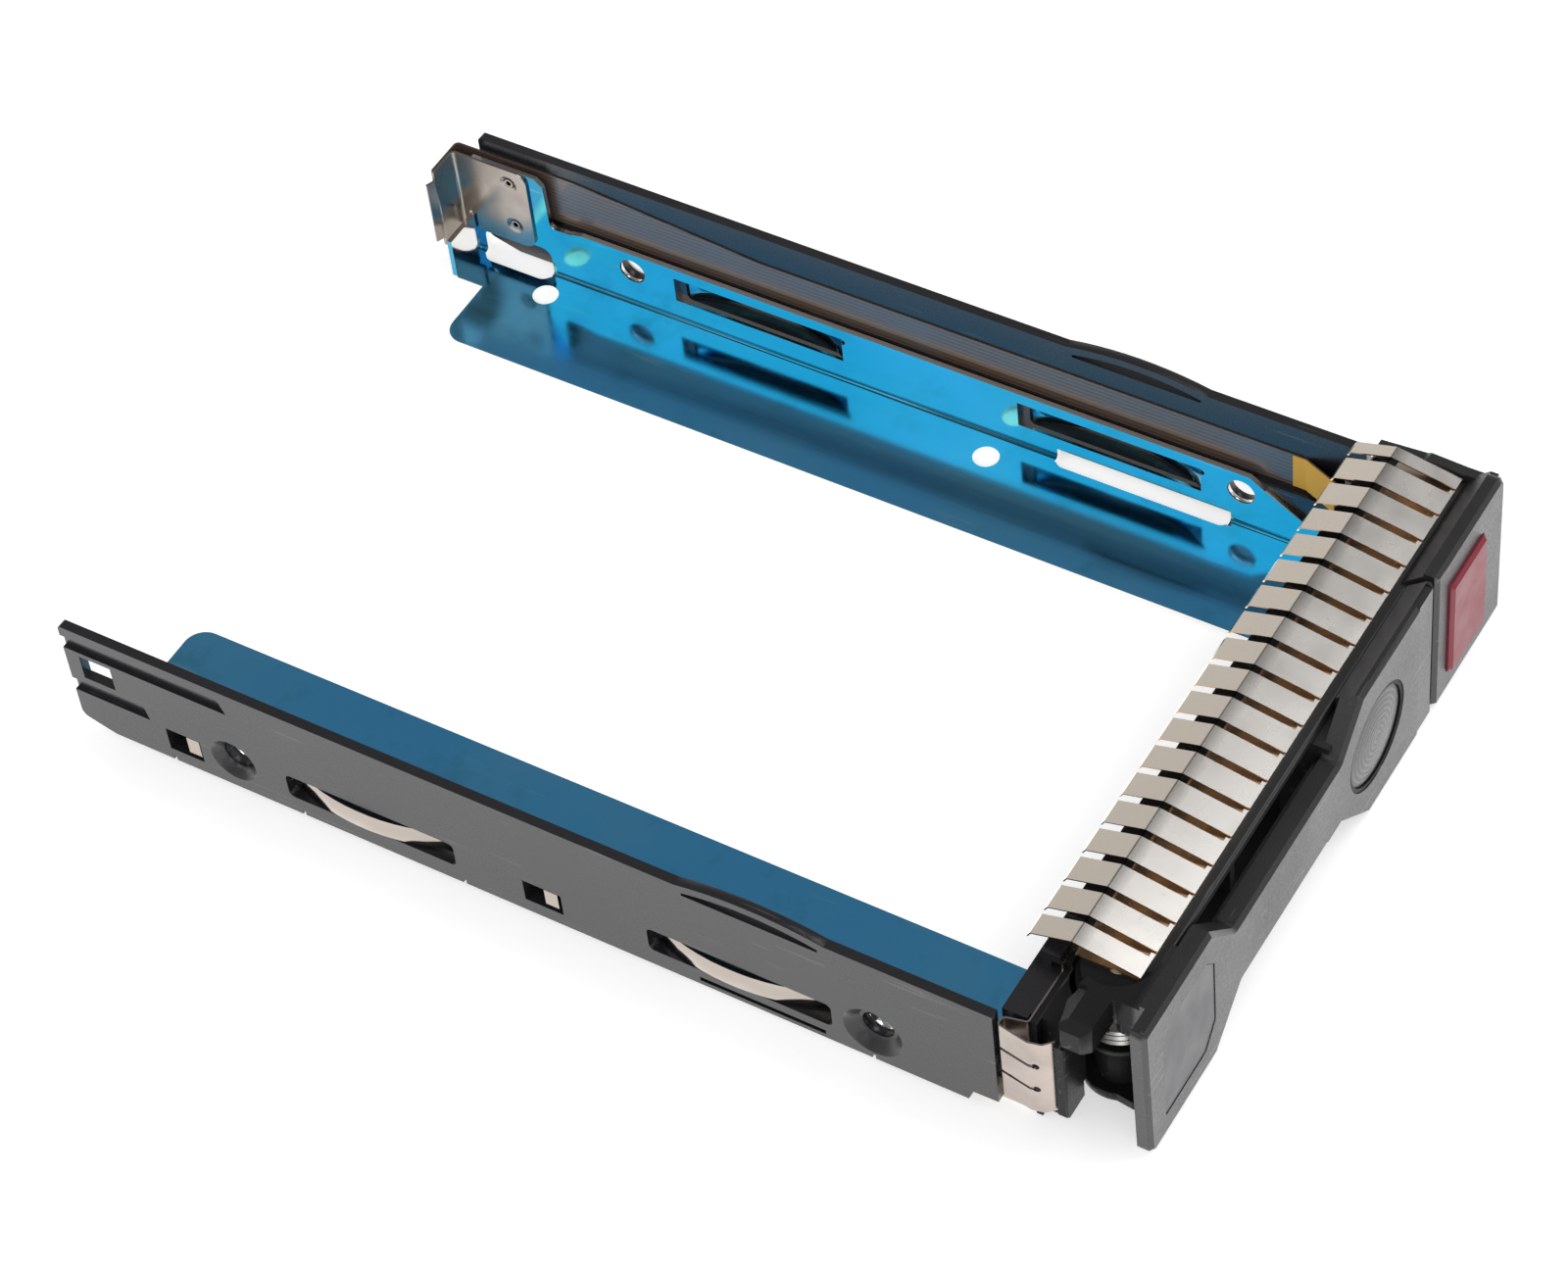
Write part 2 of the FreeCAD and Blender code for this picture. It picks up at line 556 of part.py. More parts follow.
FRAME_SCREWS = ((-32.2, 5.0), (-32.2, 18.0), (39.5, 4.6), (39.5, 19.6))


def frame_screws():
    """Four screws that clamp the cross member and the shield to the front frame."""
    made = []
    for x, z in FRAME_SCREWS:
        shank = rod("y", 1.0, x, z, 13.7, 19.4)
        head = Part.makeCone(1.9, 1.5, 1.0, V(x, 19.3, z), V(0, 1, 0))
        cross = box(x - 0.9, x + 0.9, 19.9, 20.6, z - 0.2, z + 0.2)
        other = box(x - 0.2, x + 0.2, 19.9, 20.6, z - 0.9, z + 0.9)
        made.append(fuse([shank, head]).cut(Part.makeCompound([cross, other])))
    return Part.makeCompound(made)


def bracket_screws():
    """Screws up through the flanges into the cross member."""
    made = []
    for side in (-1, 1):
        for x in SCREW_XS:
            shank = rod("z", 0.95, side * x, SCREW_Y, 0.5, FLANGE_TOP + 3.6)
            head = rod("z", 1.5, side * x, SCREW_Y, 0.15, FLANGE_TOP)
            made.append(fuse([shank, head]))
    return Part.makeCompound(made)


# ---- perforated shield and grounding fingers ----
VENT_COLUMNS = 11             # six-sided vent holes of the shield
VENT_ROWS = 4
VENT_PITCH = 5.3
VENT_RISE = 4.5
VENT_RADIUS = 2.3
VENT_X = -27.6
VENT_Z = 5.9


def side_fingers(side):
    """Three curled contact fingers at one end of the shield."""
    low = 6.4
    high = POCKET_TOP + 0.1
    outer = HALF + 0.3
    line = [(WALL_X - 2.0, SHIELD_Y), (WALL_X + 1.3, SHIELD_Y),
            (WALL_X + 2.0, SHIELD_Y + 3.2), (HALF - 0.5, SHIELD_Y + 3.4), (outer, SHIELD_Y - 1.2),
            (outer - 0.4, SHIELD_Y - 3.0), (HALF - 1.3, SHIELD_Y - 4.2)]
    body = folded("xy", line, SPRING_SHEET, 0.35, low, high)
    third = (high - low) / 3
    tools = []
    for i in (1, 2):
        z = low + i * third
        tools.append(box(HALF - 1.2, outer + 1, SHIELD_Y - 2.0, SHIELD_Y + 5, z - 0.3, z + 0.3))
        tools.append(rod("x", 0.55, SHIELD_Y - 2.1, z, HALF - 1.2, outer + 1))
    body = cut(body, tools)
    return mirror(body) if side < 0 else body


def emi_shield():
    low = FLANGE_TOP + 1.6
    high = TOP_UNDER - 0.1
    edge = WALL_X - 1.0
    near_cut = -43.0
    plate = prism("xz", [(-edge, low), (edge, low), (edge, high), (near_cut, high),
                         (near_cut, POCKET_TOP), (-edge, POCKET_TOP)], SHIELD_Y, SHIELD_BACK)
    tools = []
    for i in range(VENT_COLUMNS):
        for j in range(VENT_ROWS):
            shift = VENT_PITCH / 2 if j % 2 else 0.0
            x = VENT_X + i * VENT_PITCH + shift
            z = VENT_Z + j * VENT_RISE
            points = []
            for k in range(6):
                angle = math.radians(60 * k + 30)
                points.append((x + VENT_RADIUS * math.cos(angle), z + VENT_RADIUS * math.sin(angle)))
            tools.append(prism("xz", points, SHIELD_Y - 1, SHIELD_BACK + 1))
    for x, z in FRAME_SCREWS:
        tools.append(rod("y", 1.15, x, z, SHIELD_Y - 1, SHIELD_BACK + 1))
    tools.append(box(WALL_X - 3.4, WALL_X + 0.1, SHIELD_Y - 1, SHIELD_BACK + 1, FLEX_LOW - 0.6,
                     FLEX_HIGH + 0.6))
    body = fuse([plate, side_fingers(-1), side_fingers(1)])
    return cut(body, tools)


def finger_strip():
    """Spring strip folded back over the frame top into a row of tented fingers."""
    z = FRAME_TOP
    ridge = z + FINGER_RISE
    line = [(FINGER_RIDGE_Y - 0.4, z), (FINGER_FRONT_Y, z), (FINGER_FRONT_Y - 0.15, z + 0.75),
            (FINGER_RIDGE_Y, ridge, 0.4), (FINGER_REAR_Y - 0.5, z + 0.75), (FINGER_REAR_Y, z - 0.1)]
    line.reverse()
    body = folded("yz", line, 0.2, 0, STRIP_X0, STRIP_X1)
    tools = []
    for i in range(FINGER_SLOTS):
        x = FIRST_SLOT_X - FINGER_SLOT / 2 - i * FINGER_PITCH
        tools.append(box(x, x + FINGER_SLOT, FINGER_FRONT_Y + 0.45, FINGER_REAR_Y + 1, z + 0.35,
                         ridge + 2))
        tools.append(box(x, x + FINGER_SLOT, FINGER_RIDGE_Y + 1, FINGER_REAR_Y + 1, z - 1,
                         ridge + 2))
        tools.append(box(x + FINGER_SLOT - 0.45, x + FINGER_SLOT, FINGER_FRONT_Y - 1,
                         FINGER_FRONT_Y + 1, z + 0.3, z + 1.6))
    return cut(body, tools)


# ---- front frame ----
LEVER_BACK = 9.2              # rearmost reach of the lever's housing at its free half


def front_frame():
    fixed = FIXED_X
    y_lip = 4.4
    back = SHIELD_Y
    parts = []
    parts.append(box(PIVOT_X, HALF - 1.5, y_lip + 1, back, TOP_UNDER, FRAME_TOP))
    parts.append(prism("yz", [(y_lip, TOP_UNDER), (y_lip + 1.2, TOP_UNDER), (y_lip + 1.2, FRAME_TOP),
                              (y_lip, FRAME_TOP, 0.4)], PIVOT_X, fixed))
    parts.append(rod("z", TONGUE_RADIUS, PIVOT_X, PIVOT_Y, TOP_UNDER, FRAME_TOP))
    parts.append(box(PIVOT_X, HALF - 1.5, y_lip, back, PLATE_BOTTOM, PLATE_BOTTOM + 0.8))
    parts.append(rod("z", TONGUE_RADIUS, PIVOT_X, PIVOT_Y, PLATE_BOTTOM, PLATE_BOTTOM + 0.8))
    near_edge = -HALF + 0.5
    wall_top = POCKET_TOP - 0.1
    parts.append(box(-WALL_X - 1.0, PIVOT_X + 3, 15.45, back, PLATE_BOTTOM, wall_top))
    parts.append(box(PIVOT_X - 1.5, PIVOT_X + 9, 15.45, back, PLATE_BOTTOM, TOP_UNDER))
    corner_block = box(-WALL_X + 0.2, PIVOT_X - 1.2, 12.2, 15.6, PLATE_BOTTOM, wall_top)
    sweep = rod("z", HUB_RADIUS + 0.8, PIVOT_X, PIVOT_Y, 0, FRAME_TOP)
    parts.append(corner_block.cut(sweep))
    parts.append(prism("xy", [(near_edge, 10.4, 0.3), (near_edge + 0.9, 10.4),
                              (near_edge + 0.9, 11.4), (-47.2, 11.4), (-47.2, 12.8),
                              (-50.0, 12.8), (-50.6, 11.9), (near_edge, 11.9)], 6.2, wall_top))
    for x in (-31.0, -9.5, 5.0):
        parts.append(box(x, x + 1.3, LEVER_BACK + 0.8, back, PLATE_BOTTOM, TOP_UNDER))
    for x, z in FRAME_SCREWS:
        parts.append(rod("y", 2.1, x, z, 13.5, back))
        parts.append(box(x - 0.5, x + 0.5, 13.5, back, PLATE_BOTTOM, TOP_UNDER))

    # fixed section round the button
    plate = prism("xz", [(fixed, PLATE_BOTTOM), (HALF - 1.0, PLATE_BOTTOM),
                         (HALF - 0.8, PLATE_HEIGHT, 1.6), (fixed, PLATE_HEIGHT)], 0, 2.2)
    plate = plate.makeChamfer(0.6, [e for e in plate.Edges if on_front(e)])
    parts.append(plate)
    parts.append(prism("yz", [(1.0, PLATE_HEIGHT - 0.5), (2.2, PLATE_HEIGHT - 0.5),
                              (4.6, FRAME_TOP + 0.9, 1.0), (5.5, FRAME_TOP), (5.5, TOP_UNDER),
                              (1.0, TOP_UNDER)], fixed, HALF - 0.8))
    parts.append(box(HALF - 1.5, HALF - 0.1, 1.0, back, PLATE_BOTTOM, FRAME_TOP))
    wall_rear = SHIELD_Y + 2.5
    parts.append(prism("yz", [(1.0, TOP_UNDER), (wall_rear, TOP_UNDER), (wall_rear, FRAME_TOP + 0.8),
                              (11.9, FRAME_TOP + 1.4), (11.3, FRAME_TOP + 1.7),
                              (5.8, FRAME_TOP + 1.4), (1.0, FRAME_TOP + 1.4)],
                       STRIP_X1 + SLACK, HALF - 0.1))
    parts.append(box(fixed, fixed + 1.3, 1.0, back, PLATE_BOTTOM, TOP_UNDER))
    parts.append(box(fixed, HALF - 1.0, 1.0, 6.0, PLATE_BOTTOM, PLATE_BOTTOM + 0.8))
    # seat of the button spring and guides of the latch
    parts.append(box(39.5, 46.5, 13.0, 13.8, 14.8, TOP_UNDER))
    parts.append(box(fixed, 44.0, LATCH_Y0 - 0.2, LATCH_Y1 + 1.0, LATCH_Z0 - 1.2 - FIT, LATCH_Z0 - FIT))
    parts.append(box(fixed, 44.0, LATCH_Y1 + FIT, LATCH_Y1 + 1.0, LATCH_Z0 - 1.2, LATCH_Z1 + 0.5))
    body = fuse(parts)

    tools = []
    tools.append(prism("xz", rect(BUTTON_X, BUTTON_Z, BUTTON_WIDTH + 2 * FIT,
                                  BUTTON_HEIGHT + 2 * FIT, 0.9), -1, 2.6))
    tools.append(rod("z", PIN_RADIUS, PIVOT_X, PIVOT_Y, -1, FRAME_TOP + 1))
    tools.append(box(fixed - 1, fixed + 2, LATCH_Y0 - FIT, LATCH_Y1 + FIT, LATCH_Z0 - FIT,
                     LATCH_Z1 + FIT))
    for x, z in FRAME_SCREWS:
        tools.append(rod("y", 1.0, x, z, 13.2, back + 1))
    # board bay
    tools.append(box(BOARD_X0 - 0.3, BOARD_X1 + 0.3, BOARD_Y - 0.2, BOARD_Y + BOARD_THICK + 0.2,
                     BOARD_Z0 - 0.2, BOARD_Z1 + 0.2))
    # shallow groove between the button section and the lever end
    tools.append(box(HALF - 1.6, HALF + 1, SHIELD_Y - 4.6, back + 1, 6.0, POCKET_TOP + 0.6))
    tools.append(box(WALL_X - 1.2, WALL_X + 3, 14.0, back + 1, FLEX_LOW - 0.6, FLEX_HIGH + 0.6))
    return cut(body, tools)


def on_front(edge):
    box_of = edge.BoundBox
    return box_of.YMax < 0.001 and box_of.ZMax > PLATE_BOTTOM + 0.5


def rect(x, z, width, height, radius):
    a = width / 2
    b = height / 2
    return [(x - a, z - b, radius), (x + a, z - b, radius), (x + a, z + b, radius),
            (x - a, z + b, radius)]


# ---- release button, latch and springs ----
LATCH_Y0 = 11.2
LATCH_Y1 = 13.0
LATCH_Z0 = 6.5
LATCH_Z1 = 11.0
WEDGE_SUM = 36.2 + LATCH_Y0   # x + y on the latch's wedge face


def release_button():
    front = -BUTTON_PROUD
    cap = prism("xz", rect(BUTTON_X, BUTTON_Z, BUTTON_WIDTH, BUTTON_HEIGHT, 0.8), front, 2.9)
    cap = cap.makeChamfer(0.5, [e for e in cap.Edges if e.BoundBox.YMax < front + 0.001])
    flange = prism("xz", rect(BUTTON_X, BUTTON_Z, BUTTON_WIDTH + 1.8, BUTTON_HEIGHT, 0.8),
                   2.6 + FIT, 3.8)
    stem = box(40.6, 45.4, 3.8, 6.2, 14.8, 20.0)
    peg = rod("y", 1.1, 43.0, 17.4, 6.2, 8.0)
    arm = prism("xy", [(35.6, 3.6), (38.4, 3.6), (38.4, WEDGE_SUM - 38.4 - 0.45),
                       (37.6, WEDGE_SUM - 37.6 - 0.45), (35.6, WEDGE_SUM - 37.6 - 0.45)],
                LATCH_Z0 + 0.4, LATCH_Z1 - 0.4)
    return fuse([cap, flange, stem, peg, arm])


def release_latch():
    """Sliding latch: its nose stands at the end of the lever."""
    nose_x = LEVER_END_X + SLACK
    bar = prism("xy", [(nose_x, LATCH_Y0), (36.2, LATCH_Y0), (39.6, WEDGE_SUM - 39.6),
                       (43.0, WEDGE_SUM - 39.6), (43.0, LATCH_Y1), (nose_x, LATCH_Y1)],
                LATCH_Z0, LATCH_Z1)
    peg = rod("x", 0.9, LATCH_SPRING_Y, LATCH_SPRING_Z, 43.0, 44.6)
    return fuse([bar, peg])


LATCH_SPRING_Y = 10.4
LATCH_SPRING_Z = 8.75


def wire_section(radius, wire):
    """Four-sided section of a spring wire, standing at a helix's start."""
    half = wire / 2
    points = [V(radius + half, 0, 0), V(radius, 0, half), V(radius - half, 0, 0), V(radius, 0, -half)]
    return Part.makePolygon(points + points[:1])


def coil(radius, wire, start, end, turns):
    """Compression spring along Z from start to end, drawn at the origin."""
    height = end - start - wire
    pitch = height / turns
    helix = Part.makeHelix(pitch, height, radius)
    body = Part.Wire(helix).makePipeShell([wire_section(radius, wire)], True, True)
    body.translate(V(0, 0, start + wire / 2))
    return body


def button_spring():
    body = coil(1.7, 0.4, 0, 13.0 - 6.2 - 0.1, 4)
    body.rotate(V(0, 0, 0), V(1, 0, 0), -90)
    body.translate(V(43.0, 6.25, 17.4))
    return body


def latch_spring():
    body = coil(1.5, 0.35, 0, (HALF - 1.5) - 43.0 - 0.1, 5)
    body.rotate(V(0, 0, 0), V(0, 1, 0), 90)
    body.translate(V(43.05, LATCH_SPRING_Y, LATCH_SPRING_Z))
    return body


# ---- eject lever ----
HUB_LOW = 1.9
HUB_HIGH = 22.0
HUB_WAIST = 3.9
COIL_LOW = 12.6
COIL_HIGH = 16.9
LUG_LOW = 21.5
LUG_HIGH = 26.3
TOP_SLOPE_Y = 1.2             # the lever's top slopes back from here
TOP_REAR_Y = 4.1
TOP_REAR_Z = 24.8


def eject_lever():
    end = LEVER_END_X
    tip = LEVER_TIP_X
    high = PLATE_HEIGHT
    low = PLATE_BOTTOM
    outline = [(tip + 0.7, low, 1.2), (-32.9, low), (-25.6, GRIP_LOW, 1.0), (2.9, GRIP_LOW, 1.0),
               (11.2, low), (end, low), (end, high), (9.6, high), (3.2, GRIP_HIGH, 1.0),
               (-27.0, GRIP_HIGH, 1.0), (-33.4, high), (tip, high, 0.8)]
    plate = prism("xz", outline, 0, LEVER_PLATE)
    plate = plate.makeChamfer(0.6, [e for e in plate.Edges if on_front(e)])
    thin = box(tip - 1, -47.6, 2.2, LEVER_PLATE + 1, low - 1, high + 1)
    plate = plate.cut(thin)

    # raised arm with the cam lug, and its concave clearance round the tongue
    lug_x = PIVOT_X - LUG_REACH + 0.5
    arm = prism("xy", [(lug_x, 8.0, 0.8), (lug_x, 11.2, 0.6), (lug_x + 1.8, 11.5),
                       (lug_x + 4.8, 12.4, 0.5), (PIVOT_X - 4.6, 11.0), (PIVOT_X, 9.5),
                       (PIVOT_X, 4.1), (PIVOT_X + 4.2, 4.1), (PIVOT_X + 4.2, 1.5), (-47.6, 1.5),
                       (-47.6, 6.8, 0.5), (lug_x + 1.0, 6.9, 0.4)], LUG_LOW, LUG_HIGH)
    arm = arm.cut(rod("z", TONGUE_RADIUS + 0.4, PIVOT_X, PIVOT_Y, HUB_HIGH, LUG_HIGH + 1))
    facet = 1.3
    lug_top = LUG_HIGH + 0.01
    outer_facet = prism("xz", [(lug_x - 0.01, LUG_HIGH - facet), (lug_x + facet, lug_top),
                               (lug_x - 0.01, lug_top)], 6.0, 13.0)
    rear_facet = prism("yz", [(11.6 - facet, lug_top), (12.5, lug_top), (12.5, LUG_HIGH - 1.7)],
                       lug_x - 1, PIVOT_X - 6.4)
    arm = arm.cut(Part.makeCompound([outer_facet, rear_facet]))
    neck = prism("xy", [(-46.5, 8.2), (PIVOT_X, 8.2), (PIVOT_X, 11.0), (-46.5, 11.4)],
                 COIL_HIGH, LUG_LOW)
    hub = fuse([rod("z", HUB_RADIUS, PIVOT_X, PIVOT_Y, HUB_LOW, HUB_LOW + 1.5),
                rod("z", HUB_WAIST, PIVOT_X, PIVOT_Y, HUB_LOW, HUB_HIGH),
                Part.makeCone(HUB_WAIST, HUB_RADIUS, 3.4, V(PIVOT_X, PIVOT_Y, COIL_LOW - 4.0)),
                rod("z", HUB_RADIUS, PIVOT_X, PIVOT_Y, COIL_LOW - 0.6, HUB_HIGH)])
    shelf = prism("xy", [(-46.2, 2.0), (-46.4, 5.4), (-46.0, 8.6), (PIVOT_X, PIVOT_Y),
                         (-35.5, 6.0), (-35.5, 2.0)], HUB_LOW, HUB_LOW + 1.5)
    upper = prism("xy", [(-46.4, 2.0), (-46.6, 7.0, 1.2), (PIVOT_X, PIVOT_Y), (-35.5, 6.0),
                         (-35.5, 2.0)], COIL_HIGH + 1.2, LUG_LOW + 0.3)
    web = box(PIVOT_X + 0.6, PIVOT_X + 2.0, 2.0, PIVOT_Y - 2, HUB_LOW, LUG_LOW)
    spine = box(PIVOT_X + 1.0, -33.0, 2.0, 4.2, HUB_LOW, LUG_LOW)

    # stiffening ribs behind the grip and the housing behind the ring
    ribs = [box(-33.5, 4.0, 2.0, 3.9, 9.2, 10.4), box(-33.5, 4.0, 2.0, 3.9, 18.0, 19.2)]
    shell = box(3.6, end, 2.0, LEVER_BACK, 2.4, 21.9)
    hollow = box(5.0, end - 1.3, LEVER_PLATE, LEVER_BACK + 1, 3.7, 20.6)
    top_block = prism("yz", [(2.0, 21.5), (TOP_REAR_Y, 21.5), (TOP_REAR_Y, TOP_REAR_Z),
                             (TOP_SLOPE_Y, high), (2.0 - 1.0, 22.0)], 9.8, end)
    ring_boss = rod("y", RING_RADIUS + 1.0, RING_X, RING_Z, 2.0, 4.1)
    body = fuse([plate, arm, neck, hub, shelf, upper, web, spine, shell.cut(hollow), top_block,
                 ring_boss] + ribs)

    tools = []
    tools.append(rod("z", PIN_RADIUS + PIN_RUN, PIVOT_X, PIVOT_Y, -1, HUB_HIGH + 5))
    groove = rod("z", HUB_RADIUS + 3.0, PIVOT_X, PIVOT_Y, COIL_LOW, COIL_HIGH)
    tools.append(groove.cut(rod("z", 4.0, PIVOT_X, PIVOT_Y, COIL_LOW - 1, COIL_HIGH + 1)))
    tools.append(rod("y", RING_RADIUS + 0.05, RING_X, RING_Z, -1, 4.2))
    tools.append(box(STATUS_X0, STATUS_X1, -1, 1.2, PLATE_BOTTOM - 1, PLATE_HEIGHT + 1))
    tools.append(prism("xz", label_outline(0.0), -1, 0.5))
    tools.append(box(end - 1.6, end + 1, LATCH_Y0 - 3, LATCH_Y1 + 1, LATCH_Z0 - 0.5, LATCH_Z1 + 0.5))
    tools.append(box(-35.6, -32.4, 1.9, 5, -1, 1.5))
    tools.append(prism("yz", [(TOP_SLOPE_Y, high), (TOP_REAR_Y, TOP_REAR_Z),
                              (TOP_REAR_Y, high + 1), (TOP_SLOPE_Y, high + 1)], 9.0, end + 1))
    return cut(body, tools)


STATUS_X0 = 26.9
STATUS_X1 = 31.1


def label_outline(inset):
    """Six-sided window for a label at the pivot end of the lever."""
    i = inset
    return [(-47.2 + i, 4.9 + i, 0.5), (-45.8, 4.9 + i), (-36.0, 4.9 + i, 0.5),
            (-33.1 - i, 8.6, 0.5), (-33.1 - i, 20.6, 0.5), (-35.2 - i, 22.9 - i, 0.5),
            (-47.2 + i, 22.9 - i, 0.5)]


def label_insert():
    return prism("xz", label_outline(0.12), 0.12, 0.5)


def status_window():
    body = box(STATUS_X0 + 0.08, STATUS_X1 - 0.08, 0.1, 1.2, PLATE_BOTTOM + 0.2, PLATE_HEIGHT - 0.3)
    return body


def ring_light():
    """Light ring: a clear tube whose front edge shows round the disc."""
    outer = rod("y", RING_RADIUS, RING_X, RING_Z, 0.15, 4.0)
    inner = rod("y", RING_RADIUS - RING_WIDTH, RING_X, RING_Z, -1, 7)
    return outer.cut(inner)


def ring_disc():
    """Slightly domed disc inside the ring."""
    radius = RING_RADIUS - RING_WIDTH - 0.03
    middle = V(0, -0.05, 0)
    rim = V(radius, 0.45, 0)
    rear = 3.6
    curve = Part.Arc(middle, V(radius * 0.55, 0.05, 0), rim).toShape()
    side = Part.makeLine(rim, V(radius, rear, 0))
    back = Part.makeLine(V(radius, rear, 0), V(0, rear, 0))
    axis = Part.makeLine(V(0, rear, 0), middle)
    body = Part.Face(Part.Wire([curve, side, back, axis])).revolve(V(0, 0, 0), V(0, 1, 0), 360)
    body.translate(V(RING_X, 0, RING_Z))
    return body


def pivot_pin():
    pin = rod("z", PIN_RADIUS, PIVOT_X, PIVOT_Y, PLATE_BOTTOM, FRAME_TOP - 0.1)
    edges = [e for e in pin.Edges if e.BoundBox.ZLength < 0.001]
    return pin.makeChamfer(0.2, edges)


def lever_spring():
    """Torsion spring round the hub, with one leg to the frame and one to the lever."""
    wire = 0.7
    centre = 5.0
    turns = 3
    height = COIL_HIGH - COIL_LOW - 0.5 - wire
    helix = Part.makeHelix(height / turns, height, centre)
    body = Part.Wire(helix).makePipeShell([wire_section(centre, wire)], True, True)
    leg_a = Part.makeCylinder(wire / 2, 5.75, V(centre, 0, 0), V(0, 1, 0))
    body = body.fuse(leg_a)
    body.translate(V(PIVOT_X, PIVOT_Y, COIL_LOW + 0.25 + wire / 2))
    return body


# ---- light board ----
BOARD_X0 = 6.5
BOARD_X1 = 50.2
BOARD_Y = 14.0
BOARD_THICK = 0.9
BOARD_Z0 = 3.6
BOARD_Z1 = 21.2


def light_board():
    body = box(BOARD_X0, BOARD_X1, BOARD_Y, BOARD_Y + BOARD_THICK, BOARD_Z0, BOARD_Z1)
    tools = []
    for x, z in FRAME_SCREWS:
        tools.append(rod("y", 2.4, x, z, BOARD_Y - 1, BOARD_Y + 2))
        tools.append(box(x - 0.8, x + 0.8, BOARD_Y - 1, BOARD_Y + 2, BOARD_Z0 - 1, BOARD_Z0 + 3))
        tools.append(box(x - 0.8, x + 0.8, BOARD_Y - 1, BOARD_Y + 2, BOARD_Z1 - 3, BOARD_Z1 + 1))
    return cut(body, tools)


def board_lights():
    """Small lights on the board's front face, behind the ring and the button."""
    made = []
    for i in range(6):
        angle = math.radians(60 * i + 30)
        x = RING_X + 5.6 * math.cos(angle)
        z = RING_Z - 1.4 + 5.6 * math.sin(angle)
        made.append(box(x - 0.8, x + 0.8, BOARD_Y - 0.7, BOARD_Y, z - 0.5, z + 0.5))
    for x in (29.0, 48.4):
        made.append(box(x - 0.8, x + 0.8, BOARD_Y - 0.7, BOARD_Y, 12.0, 13.0))
    return Part.makeCompound(made)


def board_connector():
    return box(45.2, 49.8, BOARD_Y + BOARD_THICK, SHIELD_Y - 0.1, FLEX_LOW - 0.2, FLEX_HIGH + 0.2)


PARTS = {
    "left_rail": lambda: mirror(rail()),
    "right_rail": rail,
    "left_bracket": lambda: mirror(bracket(False)),
    "right_bracket": lambda: bracket(True),
    "contact_bracket": contact_bracket,
    "contact_rivets": contact_rivets,
    "contact_pads": contact_pads,
    "flex_ribbon": flex_ribbon,
    "flex_stiffener": flex_stiffener,
    "cross_member": cross_member,
    "frame_screws": frame_screws,
    "bracket_screws": bracket_screws,
    "emi_shield": emi_shield,
    "emi_finger_strip": finger_strip,
    "front_frame": front_frame,
    "release_button": release_button,
    "button_spring": button_spring,
    "release_latch": release_latch,
    "latch_spring": latch_spring,
    "eject_lever": eject_lever,
    "label_insert": label_insert,
    "status_window": status_window,
    "ring_light": ring_light,
    "ring_disc": ring_disc,
    "lever_pivot_pin": pivot_pin,
    "lever_spring": lever_spring,
    "light_board": light_board,
    "board_lights": board_lights,
    "board_connector": board_connector,
}

for name, make in PARTS.items():
    shape = make()
    shape.translate(V(0, -ORIGIN_Y, 0))
    count = len(shape.Solids)
    if not shape.isValid() or count == 0:
        print("CHECK", name, "valid", shape.isValid(), "solids", count)
    shape.exportStep("parts/" + name + ".step")
    limits = shape.BoundBox
    print(name, count, round(shape.Volume, 1), [round(v, 2) for v in (
        limits.XMin, limits.XMax, limits.YMin, limits.YMax, limits.ZMin, limits.ZMax)])
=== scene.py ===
import math

import bpy
from mathutils import Matrix, Vector


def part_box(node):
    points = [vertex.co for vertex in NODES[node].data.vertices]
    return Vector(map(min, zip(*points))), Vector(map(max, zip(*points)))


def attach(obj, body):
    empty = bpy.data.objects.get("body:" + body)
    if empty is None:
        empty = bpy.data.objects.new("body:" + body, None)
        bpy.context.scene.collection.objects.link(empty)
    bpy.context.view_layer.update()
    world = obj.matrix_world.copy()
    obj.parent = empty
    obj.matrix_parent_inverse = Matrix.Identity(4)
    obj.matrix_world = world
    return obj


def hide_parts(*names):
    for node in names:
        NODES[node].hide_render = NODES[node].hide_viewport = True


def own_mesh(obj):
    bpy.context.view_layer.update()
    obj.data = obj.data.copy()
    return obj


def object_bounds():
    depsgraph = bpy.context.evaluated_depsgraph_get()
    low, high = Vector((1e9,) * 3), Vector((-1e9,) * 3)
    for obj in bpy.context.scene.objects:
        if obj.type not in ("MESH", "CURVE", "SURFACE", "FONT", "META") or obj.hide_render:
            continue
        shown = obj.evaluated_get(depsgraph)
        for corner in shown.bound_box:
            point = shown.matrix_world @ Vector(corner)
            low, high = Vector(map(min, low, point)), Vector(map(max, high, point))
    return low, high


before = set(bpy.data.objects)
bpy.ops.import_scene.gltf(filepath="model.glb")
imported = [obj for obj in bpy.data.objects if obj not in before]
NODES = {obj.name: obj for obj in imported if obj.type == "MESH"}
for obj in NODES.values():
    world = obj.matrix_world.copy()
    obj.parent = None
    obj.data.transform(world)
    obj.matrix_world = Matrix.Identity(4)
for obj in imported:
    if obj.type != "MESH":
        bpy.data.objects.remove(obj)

# Looks of the hot swap drive caddy, in metres and in the frame of the CAD:
# +X to the right when facing the bezel, +Y from the bezel to the rear, +Z up.
MM = 0.001
CAD_LOW, CAD_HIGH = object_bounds()

